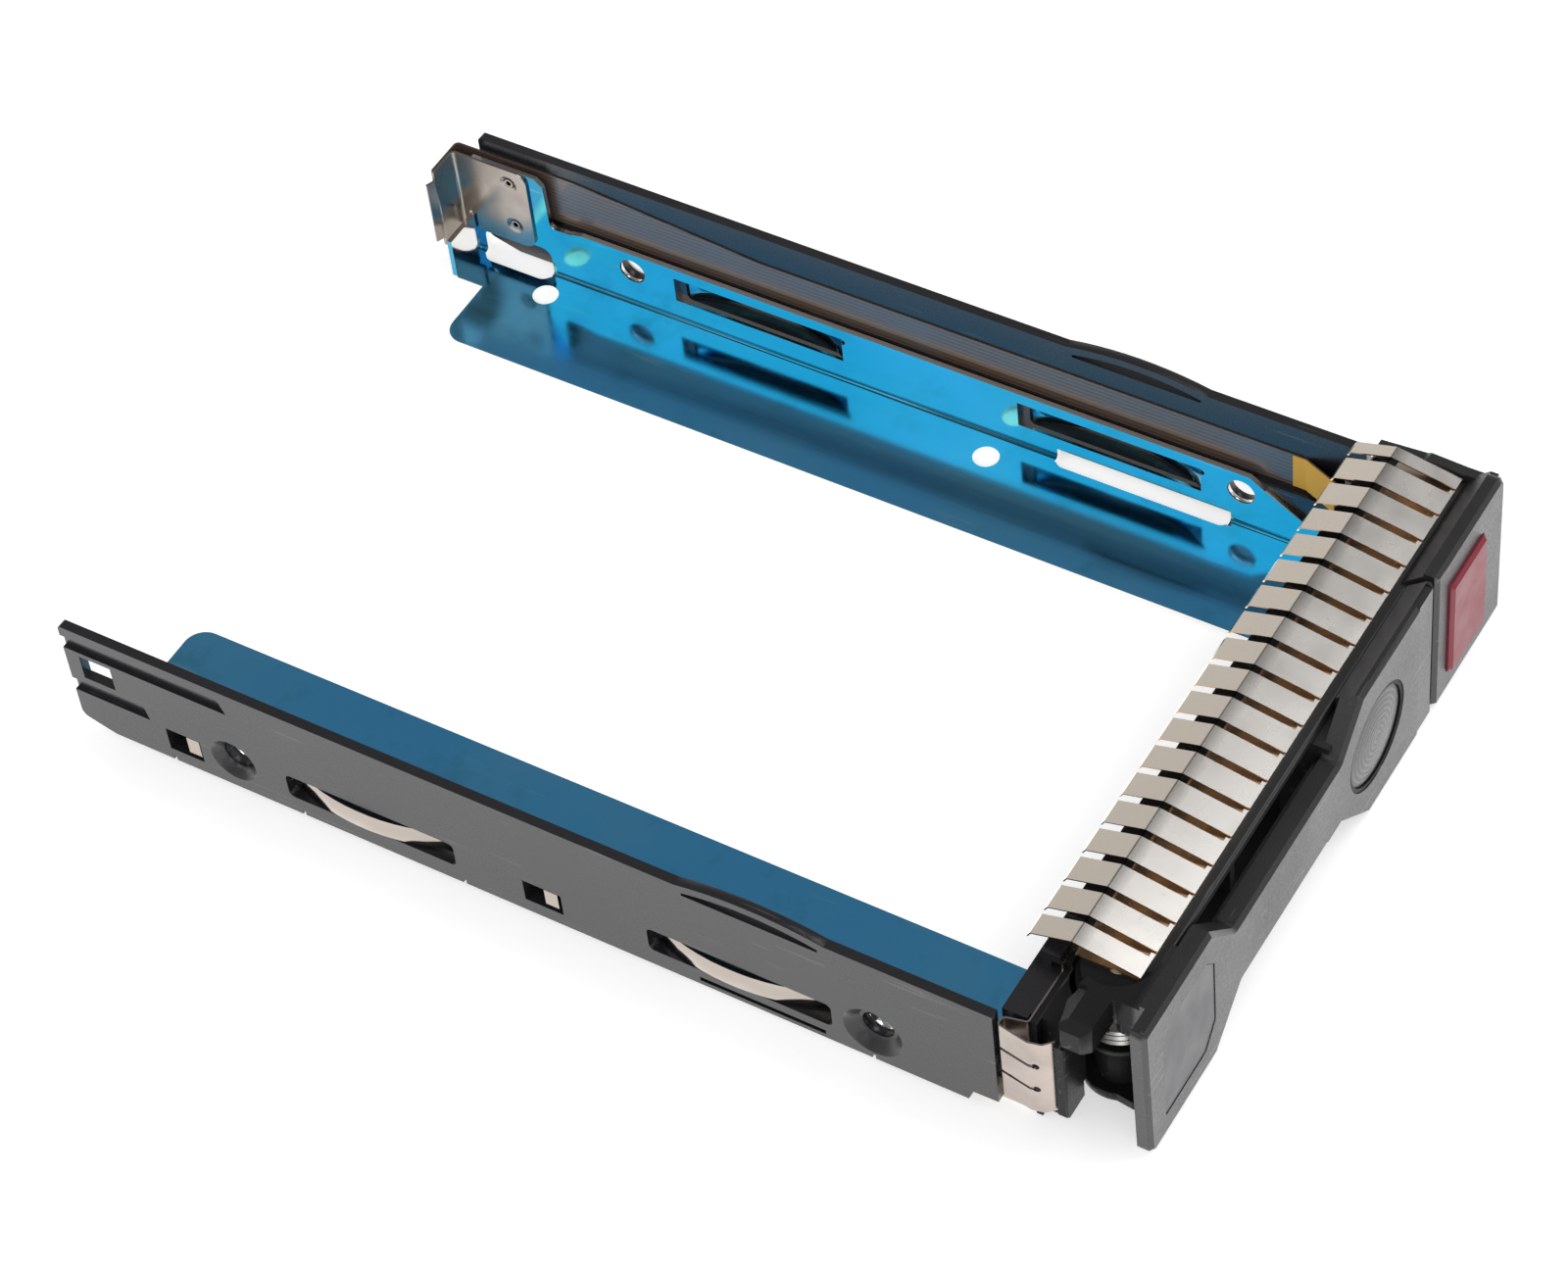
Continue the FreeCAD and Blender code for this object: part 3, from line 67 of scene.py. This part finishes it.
# ---- places on the caddy where a material changes; a pair is the width it changes over ----
CREST_Y = -0.0698                       # crest of the tented fingers
CREST_SHADE_Y = (-0.0720, -0.0702)      # the shade grows here, ahead of the crest
CREST_REAR_Y = (CREST_Y, -0.0695)       # and ends here, behind it
FINGER_FRONT_Y = -0.0795                # front ends of the tented fingers
LEAF_TOP_Z = (0.02392, 0.02398)         # top of the leaf under the fingers
SHEET_TOP_Z = (0.0009, 0.0012)          # just over the top of the bracket flanges
FLANGE_ZONE_Z = (0.0020, 0.0024)        # upward faces below this are tops of flanges
FLANGE_REAR_Y = (0.0771, 0.0787)        # rear ends of the bracket flanges
FILM_LEAN = 0.508                       # forward lean of the rear end of the wall's painted reflection, per height
PIVOT_CORNER_X = (-0.0403, -0.0395)     # inner end of the pivot corner
PLATE_REAR_Y = (-0.0820, -0.0812)       # rear face of the lever's front plate

# ---- parts of a normal along one axis, which tell the faces apart ----
FLAT_FACE = (0.95, 0.995)
SHEARED_FACE = (0.6, 0.8)
REAR_SLOPE = (0.05, 0.2)
UNDERSIDE = (-0.6, -0.3)
OUTER_FACE = (-0.7, -0.3)
COVERED_FACE = (0.35, 0.55)

# ---- spans of a noise's level, from where it starts to count to where it counts in full ----
MOST_OF_NOISE = (0.3, 0.7)
GRAIN = (0.35, 0.65)
SMEARS = (0.35, 0.7)
FINGER_PITS = (0.72, 0.78)
METAL_PITS = (0.70, 0.78)
HAIR_LINES = (0.66, 0.69)
HAIR_PATCHES = (0.50, 0.62)
FADED_PATCHES = (0.45, 0.75)
FINGERPRINTS = (0.55, 0.72)
TURNED_RINGS = (0.2, 0.8)
TRACES = (0.35, 0.6)
HAZE = (0.4, 0.7)

# ---- shared values of the materials ----
PLAIN_SPECULAR = 0.5
CORNER_SHADE_SPECULAR = 0.08                    # painted shade: less sheen on the plastic in the pivot corner
RING_SPECULAR = 0.12
RUBBED_PLASTIC = (0.35, 0.34, 0.33)
HAIR_SIZE = 0.0008
HAIR_PATCH_SIZE = 0.012
HAIRS_ACROSS = {"stretch": (0.045, 1.0, 1.0), "turn": (0.0, 0.06, 0.0)}
HAIRS_ALONG = {"stretch": (1.0, 0.045, 1.0), "turn": (0.05, 0.0, 0.0)}
RING_WAVE = 380.0                       # rings 0.83 mm apart
RING_SWIRL = 1.2
RING_SWIRL_SCALE = 90.0
TRACE_WAVE = 420.0                      # traces 0.75 mm apart

# Sockets of a node that mixes two colours; several of them share a name.
MIX_FACTOR = 0
MIX_FIRST = 6
MIX_SECOND = 7
MIX_RESULT = 2


def new_object(name, data):
    """An object with this data, in the scene."""
    made = bpy.data.objects.new(name, data)
    bpy.context.collection.objects.link(made)
    return made


def scaled(colour, factor):
    """A colour made brighter or darker, at most full."""
    return tuple(min(1.0, part * factor) for part in colour)


def opaque(colour):
    """A colour with its alpha; an output socket stays as it is."""
    return (*colour, 1.0) if isinstance(colour, tuple) else colour


# ---- node helpers ----
class Graph:
    """A node tree filled from empty. Its steps return output sockets, which feed takes."""

    def __init__(self, tree):
        self.tree = tree
        tree.nodes.clear()

    def add(self, kind, **settings):
        node = self.tree.nodes.new(kind)
        for key, value in settings.items():
            setattr(node, key, value)
        return node

    def feed(self, target, value):
        """Links an input to an output socket, or sets it to a constant."""
        if isinstance(value, bpy.types.NodeSocket):
            self.tree.links.new(value, target)
        else:
            target.default_value = value

    def math(self, operation, *values):
        node = self.add("ShaderNodeMath", operation=operation)
        for target, value in zip(node.inputs, values):
            self.feed(target, value)
        return node.outputs["Value"]

    def split(self, vector):
        """The X, Y and Z outputs of a vector."""
        node = self.add("ShaderNodeSeparateXYZ")
        self.feed(node.inputs["Vector"], vector)
        return node.outputs


class Shader(Graph):
    """A principled material painted in the object's own coordinates."""

    def __init__(self, name):
        self.material = bpy.data.materials.new(name)
        self.material.use_nodes = True
        super().__init__(self.material.node_tree)
        self.surface = self.add("ShaderNodeBsdfPrincipled")
        output = self.add("ShaderNodeOutputMaterial")
        self.feed(output.inputs["Surface"], self.surface.outputs["BSDF"])
        self.place = self.add("ShaderNodeTexCoord").outputs["Object"]

    def normal(self):
        return self.add("ShaderNodeNewGeometry").outputs["Normal"]

    def noise(self, size, detail, stretch=(1, 1, 1), turn=(0, 0, 0), roughness=0.5):
        """Noise whose grains are about size metres across, longer where stretch is low."""
        mapping = self.add("ShaderNodeMapping")
        mapping.inputs["Scale"].default_value = stretch
        mapping.inputs["Rotation"].default_value = turn
        self.feed(mapping.inputs["Vector"], self.place)
        node = self.add("ShaderNodeTexNoise")
        node.inputs["Scale"].default_value = 1.0 / size
        node.inputs["Detail"].default_value = detail
        node.inputs["Roughness"].default_value = roughness
        self.feed(node.inputs["Vector"], mapping.outputs["Vector"])
        return node.outputs["Fac"]

    def remap(self, value, low, high, to_low=0.0, to_high=1.0):
        """The range low to high spread over to_low to to_high, and clamped there."""
        node = self.add("ShaderNodeMapRange")
        node.inputs["From Min"].default_value = low
        node.inputs["From Max"].default_value = high
        node.inputs["To Min"].default_value = to_low
        node.inputs["To Max"].default_value = to_high
        self.feed(node.inputs["Value"], value)
        return node.outputs["Result"]

    def below(self, value, low, high):
        """1 under low, fading to 0 at high."""
        return self.remap(value, low, high, 1.0, 0.0)

    def mix(self, factor, first, second):
        """The first colour going over to the second as the factor rises."""
        node = self.add("ShaderNodeMix", data_type="RGBA")
        self.feed(node.inputs[MIX_FACTOR], factor)
        self.feed(node.inputs[MIX_FIRST], opaque(first))
        self.feed(node.inputs[MIX_SECOND], opaque(second))
        return node.outputs[MIX_RESULT]

    def paint(self, colour):
        self.feed(self.surface.inputs["Base Color"], colour)

    def rough(self, value, least, most, span=MOST_OF_NOISE):
        level = self.remap(value, *span, least, most)
        self.feed(self.surface.inputs["Roughness"], level)

    def bump(self, height, distance):
        node = self.add("ShaderNodeBump")
        node.inputs["Distance"].default_value = distance
        self.feed(node.inputs["Height"], height)
        self.feed(self.surface.inputs["Normal"], node.outputs["Normal"])

    def set(self, **values):
        for name, value in values.items():
            self.surface.inputs[name.replace("_", " ")].default_value = value


def hairlines(shader, hairs):
    """Fine straight scratches: stretched noise cut to its thin crests, in patches."""
    crests = shader.noise(size=HAIR_SIZE, detail=1.0, **hairs)
    lines = shader.remap(crests, *HAIR_LINES)
    patches = shader.remap(shader.noise(size=HAIR_PATCH_SIZE, detail=2.0), *HAIR_PATCHES)
    return shader.math("MULTIPLY", lines, patches)


def paint_pivot_corner_shade(shader):
    """Painted shade: less sheen on the enclosed plastic round the lever's pivot, behind the front
    plate, where shade falls.
    """
    place = shader.split(shader.place)
    beside = shader.below(place["X"], *PIVOT_CORNER_X)
    behind = shader.remap(place["Y"], *PLATE_REAR_Y)
    corner = shader.math("MULTIPLY", beside, behind)
    sheen = shader.remap(corner, 0.0, 1.0, PLAIN_SPECULAR, CORNER_SHADE_SPECULAR)
    shader.feed(shader.surface.inputs["Specular IOR Level"], sheen)


def black_plastic(name, base, rough, grain=0.0003, depth=3e-5, wear=0.12, spark=0.05,
                  hairs=HAIRS_ACROSS, pivot_corner_shade=False):
    """Moulded plastic with a fine grain, broad patches and rubbed hairlines."""
    shader = Shader(name)
    broad = shader.noise(size=0.02, detail=4.0)
    fine = shader.noise(size=grain, detail=2.0)
    clean = shader.mix(broad, base, scaled(base, 1.35))
    rubbed = shader.math("MULTIPLY", hairlines(shader, hairs), wear)
    shader.paint(shader.mix(rubbed, clean, RUBBED_PLASTIC))
    speckle = shader.remap(fine, *GRAIN, -spark, spark)
    level = shader.remap(broad, *GRAIN, rough * 0.88, rough * 1.12)
    shader.feed(shader.surface.inputs["Roughness"], shader.math("ADD", level, speckle))
    shader.bump(fine, depth)
    # Painted shade in the enclosed corner round the lever's pivot.
    if pivot_corner_shade:
        paint_pivot_corner_shade(shader)
    return shader.material


def finger_metal(name, base, dark, rough):
    """Bright spring strip with brown sheared edges; painted shade along the crest, painted
    highlights towards the front ends and on the rear slopes, and a warm copper tone brightened as
    painted light on the leaf and undersides.
    """
    crest_shade_tone = (0.16, 0.15, 0.14)
    front_highlight_tone = (0.86, 0.84, 0.81)
    rear_highlight_tone = (0.97, 0.86, 0.74)
    edge_tone = (0.42, 0.24, 0.12)
    inner_copper_and_painted_light_tone = (0.84, 0.68, 0.52)
    shade_strength = 0.62
    front_highlight_strength = 0.5
    rear_highlight_strength = 0.9
    edge_strength = 0.85
    pit_strength = 0.35
    shader = Shader(name)
    place = shader.split(shader.place)
    normal = shader.split(shader.normal())
    smear = shader.noise(size=0.006, detail=4.0)
    tone = shader.mix(shader.remap(smear, *SMEARS), base, dark)
    pits = shader.remap(shader.noise(size=0.0008, detail=1.0), *FINGER_PITS, to_high=pit_strength)
    tone = shader.mix(pits, tone, scaled(base, 0.4))
    # Painted shade along the crest of the fingers.
    ahead = shader.remap(place["Y"], *CREST_SHADE_Y)
    behind = shader.below(place["Y"], *CREST_REAR_Y)
    crest = shader.math("MULTIPLY", ahead, behind)
    tone = shader.mix(shader.math("MULTIPLY", crest, shade_strength), tone, crest_shade_tone)
    # Painted highlight: lighter towards the front ends of the fingers.
    front_highlight = shader.remap(place["Y"], CREST_Y, FINGER_FRONT_Y, to_high=front_highlight_strength)
    tone = shader.mix(front_highlight, tone, front_highlight_tone)
    # Painted highlight: a lighter, warmer tone on the rear slopes, which face the rear.
    rear_highlight = shader.remap(normal["Y"], *REAR_SLOPE, to_high=rear_highlight_strength)
    tone = shader.mix(rear_highlight, tone, rear_highlight_tone)
    sideways = shader.math("ABSOLUTE", normal["X"])
    edge = shader.remap(sideways, *SHEARED_FACE, to_high=edge_strength)
    tone = shader.mix(edge, tone, edge_tone)
    # The leaf under the fingers and the undersides: a warm copper tone, brightened as painted light
    # where they lie in shade.
    leaf = shader.below(place["Z"], *LEAF_TOP_Z)
    underside = shader.below(normal["Z"], *UNDERSIDE)
    inner = shader.math("MAXIMUM", leaf, underside)
    shader.paint(shader.mix(inner, tone, inner_copper_and_painted_light_tone))
    shader.rough(smear, rough * 0.8, rough * 1.25)
    shader.bump(shader.noise(size=0.0006, detail=3.0, stretch=(1, 8, 1)), distance=1.5e-6)
    shader.set(Metallic=1.0)
    return shader.material


def metal(name, base, dark, rough):
    """Metal with broad smears and a few dark pits."""
    pit_strength = 0.6
    shader = Shader(name)
    smear = shader.noise(size=0.008, detail=4.0)
    aged = shader.mix(shader.remap(smear, *SMEARS), base, dark)
    pits = shader.remap(shader.noise(size=0.0009, detail=3.0), *METAL_PITS, to_high=pit_strength)
    shader.paint(shader.mix(pits, aged, scaled(base, 0.35)))
    shader.rough(smear, rough * 0.8, rough * 1.25)
    shader.bump(shader.noise(size=0.0006, detail=3.0), distance=4e-6)
    shader.set(Metallic=1.0)
    return shader.material


def film_on_steel(name, side):
    """Polished steel with a blue film on its inner faces; side is -1 or 1 along X."""
    floor_film = (0.10, 0.46, 0.86)
    wall_reflection_film = (0.075, 0.44, 0.44)
    shaded_film = (0.02, 0.20, 0.33)
    faded_film = (0.22, 0.55, 0.70)
    printed_film = (0.05, 0.27, 0.36)
    scratched_film = (0.35, 0.62, 0.72)
    bare_inside = (0.62, 0.61, 0.59)
    bare_outside = (0.37, 0.325, 0.285)
    fade_strength = 0.35
    print_strength = 0.35
    hair_strength = 0.35
    shader = Shader(name)
    place = shader.split(shader.place)
    normal = shader.split(shader.normal())
    inward = shader.math("MULTIPLY", normal["X"], -side)

    # The film covers the tops of the flanges and the inner sides of the walls.
    low_down = shader.below(place["Z"], *FLANGE_ZONE_Z)
    flange_top = shader.math("MULTIPLY", normal["Z"], low_down)
    above_sheet = shader.remap(place["Z"], *SHEET_TOP_Z)
    wall_side = shader.math("MULTIPLY", inward, above_sheet)
    covered = shader.remap(shader.math("MAXIMUM", wall_side, flange_top), *COVERED_FACE)

    # Painted light and shade on one film: flat floors take one blue, the folds and the rear of the
    # wall a darker painted shade, and the wall over the flange a lighter teal, a painted reflection
    # of the flange.
    flat_floor = shader.remap(normal["Z"], *FLAT_FACE)
    film = shader.mix(flat_floor, shaded_film, floor_film)
    flat_wall = shader.remap(inward, *FLAT_FACE)
    reach = shader.math("ADD", place["Y"], shader.math("MULTIPLY", place["Z"], FILM_LEAN))
    over_flange = shader.below(reach, *FLANGE_REAR_Y)
    film = shader.mix(shader.math("MULTIPLY", flat_wall, over_flange), film, wall_reflection_film)

    # Faded patches, fingerprints and hairlines.
    faded = shader.remap(shader.noise(size=0.03, detail=3.0), *FADED_PATCHES, to_high=fade_strength)
    film = shader.mix(faded, film, faded_film)
    blots = shader.noise(size=0.009, detail=6.0, roughness=0.65)
    prints = shader.remap(blots, *FINGERPRINTS, to_high=print_strength)
    film = shader.mix(prints, film, printed_film)
    hairs = shader.math("MULTIPLY", hairlines(shader, HAIRS_ALONG), hair_strength)
    film = shader.mix(hairs, film, scratched_film)

    outward = shader.below(inward, *OUTER_FACE)
    steel = shader.mix(outward, bare_inside, bare_outside)
    shader.paint(shader.mix(covered, steel, film))
    streaks = shader.noise(size=0.0012, detail=2.0, stretch=(1, 0.03, 1))
    shader.rough(streaks, 0.09, 0.16)
    shader.bump(streaks, distance=1.5e-6)
    shader.set(Metallic=1.0)
    return shader.material


def satin(name, base, rough, metallic=0.0, specular=PLAIN_SPECULAR):
    """Smooth plastic or film with faint patches."""
    shader = Shader(name)
    broad = shader.noise(size=0.004, detail=4.0)
    shader.paint(shader.mix(broad, base, scaled(base, 1.25)))
    shader.rough(broad, rough * 0.85, rough * 1.15)
    shader.bump(shader.noise(size=0.0004, detail=2.0), distance=6e-6)
    shader.set(Metallic=metallic, Specular_IOR_Level=specular)
    return shader.material


def turned_plastic(name, base, rough, centre):
    """Moulded disc with the fine rings and the swirl of a turned mould."""
    shader = Shader(name)
    from_centre = shader.add("ShaderNodeVectorMath", operation="SUBTRACT")
    shader.feed(from_centre.inputs[0], shader.place)
    shader.feed(from_centre.inputs[1], centre)
    rings = shader.add("ShaderNodeTexWave", wave_type="RINGS", rings_direction="Y")
    rings.inputs["Scale"].default_value = RING_WAVE
    rings.inputs["Distortion"].default_value = RING_SWIRL
    rings.inputs["Detail Scale"].default_value = RING_SWIRL_SCALE
    shader.feed(rings.inputs["Vector"], from_centre.outputs["Vector"])
    shader.paint(shader.mix(shader.noise(size=0.004, detail=3.0), base, scaled(base, 1.35)))
    shader.rough(rings.outputs["Fac"], rough * 0.85, rough * 1.2, span=TURNED_RINGS)
    shader.bump(rings.outputs["Fac"], distance=1.2e-5)
    return shader.material


def flex_film(name):
    """Ribbon with fine copper traces along its length under a grey-brown film."""
    gap_tone = (0.11, 0.07, 0.05)
    trace_tone = (0.17, 0.115, 0.085)
    haze_tone = (0.13, 0.12, 0.12)
    haze_strength = 0.6
    shader = Shader(name)
    traces = shader.add("ShaderNodeTexWave", wave_type="BANDS", bands_direction="Z")
    traces.inputs["Scale"].default_value = TRACE_WAVE
    shader.feed(traces.inputs["Vector"], shader.place)
    lines = shader.mix(shader.remap(traces.outputs["Fac"], *TRACES), gap_tone, trace_tone)
    haze = shader.remap(shader.noise(size=0.01, detail=3.0), *HAZE, to_high=haze_strength)
    shader.paint(shader.mix(haze, lines, haze_tone))
    shader.bump(traces.outputs["Fac"], distance=1e-5)
    shader.set(Roughness=0.35, Coat_Weight=0.35, Metallic=0.3)
    return shader.material


# ---- materials of the CAD nodes ----
PLASTIC = black_plastic("black_plastic", (0.014, 0.014, 0.015), rough=0.36,
                        wear=0.20, pivot_corner_shade=True)
PLASTIC_GLOSS = black_plastic("black_plastic_gloss", (0.011, 0.011, 0.013), rough=0.27,
                              grain=0.0005, depth=1.2e-5, wear=0.14, spark=0.02, hairs=HAIRS_ALONG)
NICKEL = finger_metal("nickel_spring", (0.70, 0.665, 0.625), (0.55, 0.52, 0.49), rough=0.25)
STEEL = metal("spring_steel", (0.42, 0.36, 0.325), (0.31, 0.27, 0.24), rough=0.28)
STAINLESS = metal("stainless", (0.34, 0.305, 0.27), (0.25, 0.22, 0.195), rough=0.24)
SCREW = metal("screw_steel", (0.55, 0.54, 0.52), (0.40, 0.39, 0.38), rough=0.3)
GOLD = metal("gold_contact", (0.85, 0.60, 0.22), (0.70, 0.46, 0.15), rough=0.25)
MAROON = satin("maroon_plastic", (0.20, 0.013, 0.028), rough=0.44)
AMBER = satin("amber_film", (1.0, 0.50, 0.07), rough=0.5, metallic=0.1)
LABEL = satin("label_film", (0.07, 0.07, 0.075), rough=0.45)
SMOKED = black_plastic("smoked_plastic", (0.018, 0.018, 0.020), rough=0.34)
RING = satin("clear_ring", (0.006, 0.006, 0.007), rough=0.5, specular=RING_SPECULAR)
DISC_LOW, DISC_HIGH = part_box("ring_disc")
DISC = turned_plastic("turned_disc", (0.014, 0.014, 0.015), rough=0.30,
                      centre=(DISC_LOW + DISC_HIGH) / 2)
BOARD = satin("green_board", (0.02, 0.10, 0.05), rough=0.4)
CONNECTOR = satin("connector_plastic", (0.62, 0.58, 0.50), rough=0.45)
LEFT_FILM = film_on_steel("film_left", -1)
RIGHT_FILM = film_on_steel("film_right", 1)
FLEX = flex_film("flex_film")

FINISH = {
    "left_rail": PLASTIC_GLOSS, "right_rail": PLASTIC_GLOSS,
    "left_bracket": LEFT_FILM, "right_bracket": RIGHT_FILM,
    "contact_bracket": STAINLESS, "contact_rivets": STAINLESS, "contact_pads": GOLD,
    "flex_ribbon": FLEX, "flex_stiffener": AMBER, "cross_member": PLASTIC_GLOSS,
    "frame_screws": SCREW, "bracket_screws": SCREW, "emi_shield": STEEL,
    "emi_finger_strip": NICKEL, "front_frame": PLASTIC, "release_button": MAROON,
    "button_spring": SCREW, "release_latch": PLASTIC, "latch_spring": SCREW,
    "eject_lever": PLASTIC, "label_insert": LABEL, "status_window": SMOKED,
    "ring_light": RING, "ring_disc": DISC, "lever_pivot_pin": SCREW,
    "lever_spring": SCREW, "light_board": BOARD, "board_lights": RING,
    "board_connector": CONNECTOR,
}
for name, finish in FINISH.items():
    piece = NODES[name]
    if not piece.material_slots:
        piece.data.materials.append(finish)
    for slot in piece.material_slots:
        slot.link = "OBJECT"
        slot.material = finish

# ---- moulded and sheared edges, softened so that they catch the light ----
# Widths in millimetres.
EDGE_WIDTH = {"left_rail": 0.15, "right_rail": 0.15, "front_frame": 0.15, "eject_lever": 0.15,
              "cross_member": 0.15, "release_button": 0.12, "contact_bracket": 0.04,
              "left_bracket": 0.06, "right_bracket": 0.06}
EDGE_SEGMENTS = 2
EDGE_ANGLE = math.radians(35)
WELD_DISTANCE = 1e-6


def soften(piece, width):
    weld = piece.modifiers.new("weld", "WELD")
    weld.merge_threshold = WELD_DISTANCE
    edge = piece.modifiers.new("edge", "BEVEL")
    edge.width = width * MM
    edge.segments = EDGE_SEGMENTS
    edge.limit_method = "ANGLE"
    edge.angle_limit = EDGE_ANGLE
    edge.harden_normals = True


for name, width in EDGE_WIDTH.items():
    soften(NODES[name], width)


# ---- coils, copied onto the caddy ----
def squeezed_coil(name):
    """A copy of the coil in screw steel, riding on the caddy in place of the part, which is hidden.
    """
    coil = new_object(name + "_coil", NODES[name].data.copy())
    coil.data.materials.clear()
    coil.data.materials.append(SCREW)
    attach(coil, "caddy")
    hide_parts(name)
    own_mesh(coil)


squeezed_coil("button_spring")
squeezed_coil("latch_spring")

# ---- floor: pale and matt, with a glow that only the camera and mirroring faces see ----
FLOOR_SIZE = 6.0
FLOOR_GAP = 0.00005
FLOOR_COLOUR = (0.86, 0.86, 0.86)
FLOOR_SEEN = 0.5
FLOOR_MIRRORED = 1.0
bpy.ops.mesh.primitive_plane_add(size=FLOOR_SIZE, location=(0, 0, CAD_LOW.z - FLOOR_GAP))
floor = bpy.context.object
floor.name = "floor"
floor_material = bpy.data.materials.new("floor_paint")
floor_material.use_nodes = True
paint = Graph(floor_material.node_tree)
rays = paint.add("ShaderNodeLightPath").outputs
mirrored = paint.math("MAXIMUM", rays["Is Glossy Ray"], rays["Is Transmission Ray"])
seen_glow = paint.math("MULTIPLY", rays["Is Camera Ray"], FLOOR_SEEN)
mirrored_glow = paint.math("MULTIPLY", mirrored, FLOOR_MIRRORED)
glow = paint.add("ShaderNodeEmission")
paint.feed(glow.inputs["Strength"], paint.math("ADD", seen_glow, mirrored_glow))
matt = paint.add("ShaderNodeBsdfDiffuse")
paint.feed(matt.inputs["Color"], opaque(FLOOR_COLOUR))
both = paint.add("ShaderNodeAddShader")
paint.feed(both.inputs[0], matt.outputs["BSDF"])
paint.feed(both.inputs[1], glow.outputs["Emission"])
paint_output = paint.add("ShaderNodeOutputMaterial")
paint.feed(paint_output.inputs["Surface"], both.outputs["Shader"])
floor.data.materials.append(floor_material)

# ---- sky, bright at the horizon and grey overhead ----
SKY_STRENGTH = 0.9
# Each step is a height of the direction, from 0 at the horizon to 1 overhead, and its grey.
SKY_STEPS = ((0.0, 1.0), (0.35, 0.85), (0.60, 0.30), (1.0, 0.30))
NEW_STEP_HEIGHT = 0.5
world = bpy.data.worlds.new("studio")
bpy.context.scene.world = world
world.use_nodes = True
sky = Graph(world.node_tree)
direction = sky.split(sky.add("ShaderNodeTexCoord").outputs["Generated"])
greys = sky.add("ShaderNodeValToRGB")
sky.feed(greys.inputs["Fac"], direction["Z"])
ramp = greys.color_ramp
ramp.interpolation = "EASE"
while len(ramp.elements) < len(SKY_STEPS):
    ramp.elements.new(NEW_STEP_HEIGHT)
for element, (height, grey) in zip(ramp.elements, SKY_STEPS):
    element.position = height
    element.color = (grey, grey, grey, 1)
background = sky.add("ShaderNodeBackground")
sky.feed(background.inputs["Color"], greys.outputs["Color"])
sky.feed(background.inputs["Strength"], SKY_STRENGTH)
sky_output = sky.add("ShaderNodeOutputWorld")
sky.feed(sky_output.inputs["Surface"], background.outputs["Background"])


# ---- lights ----
def soft_box(name, place, width, height, watts):
    """Rectangular light turned to the bottom centre of the caddy."""
    data = bpy.data.lights.new(name, "AREA")
    data.shape = "RECTANGLE"
    data.size = width
    data.size_y = height
    data.energy = watts
    lamp = new_object(name, data)
    lamp.location = place
    lamp.rotation_mode = "QUATERNION"
    lamp.rotation_quaternion = (-Vector(place)).to_track_quat("-Z", "Y")


soft_box("key_box", (0.50, -0.57, 1.30), width=1.0, height=0.9, watts=7.0)
soft_box("fill_box", (-0.9, -0.8, 0.8), width=1.1, height=0.8, watts=5.0)
soft_box("back_box", (-0.80, 0.58, 1.14), width=1.0, height=0.9, watts=4.0)

# ---- camera: azimuth from +Y towards +X, drop below the horizon ----
CAMERA_PLACE = Vector((-0.3495, -0.2540, 0.5029))
CAMERA_AZIMUTH = math.radians(54.182)
CAMERA_DROP = math.radians(49.017)
CAMERA_ROLL = math.radians(-7.207)
CAMERA_LENS = 108.2
CAMERA_SENSOR = 36.0
CAMERA_SHIFT = (-0.0024, -0.0018)
CAMERA_CLIP = (0.01, 50.0)

forward = Vector((math.sin(CAMERA_AZIMUTH) * math.cos(CAMERA_DROP),
                  math.cos(CAMERA_AZIMUTH) * math.cos(CAMERA_DROP), -math.sin(CAMERA_DROP)))
level = Vector((math.cos(CAMERA_AZIMUTH), -math.sin(CAMERA_AZIMUTH), 0))
upright = level.cross(forward)
right = math.cos(CAMERA_ROLL) * level + math.sin(CAMERA_ROLL) * upright
up = -math.sin(CAMERA_ROLL) * level + math.cos(CAMERA_ROLL) * upright
camera_data = bpy.data.cameras.new("camera")
camera_data.lens = CAMERA_LENS
camera_data.sensor_width = CAMERA_SENSOR
camera_data.shift_x, camera_data.shift_y = CAMERA_SHIFT
camera_data.clip_start, camera_data.clip_end = CAMERA_CLIP
camera = new_object("camera", camera_data)
turn = Matrix((right, up, -forward)).transposed().to_4x4()
camera.matrix_world = Matrix.Translation(CAMERA_PLACE) @ turn
bpy.context.scene.camera = camera

bpy.context.scene.view_settings.view_transform = "Standard"
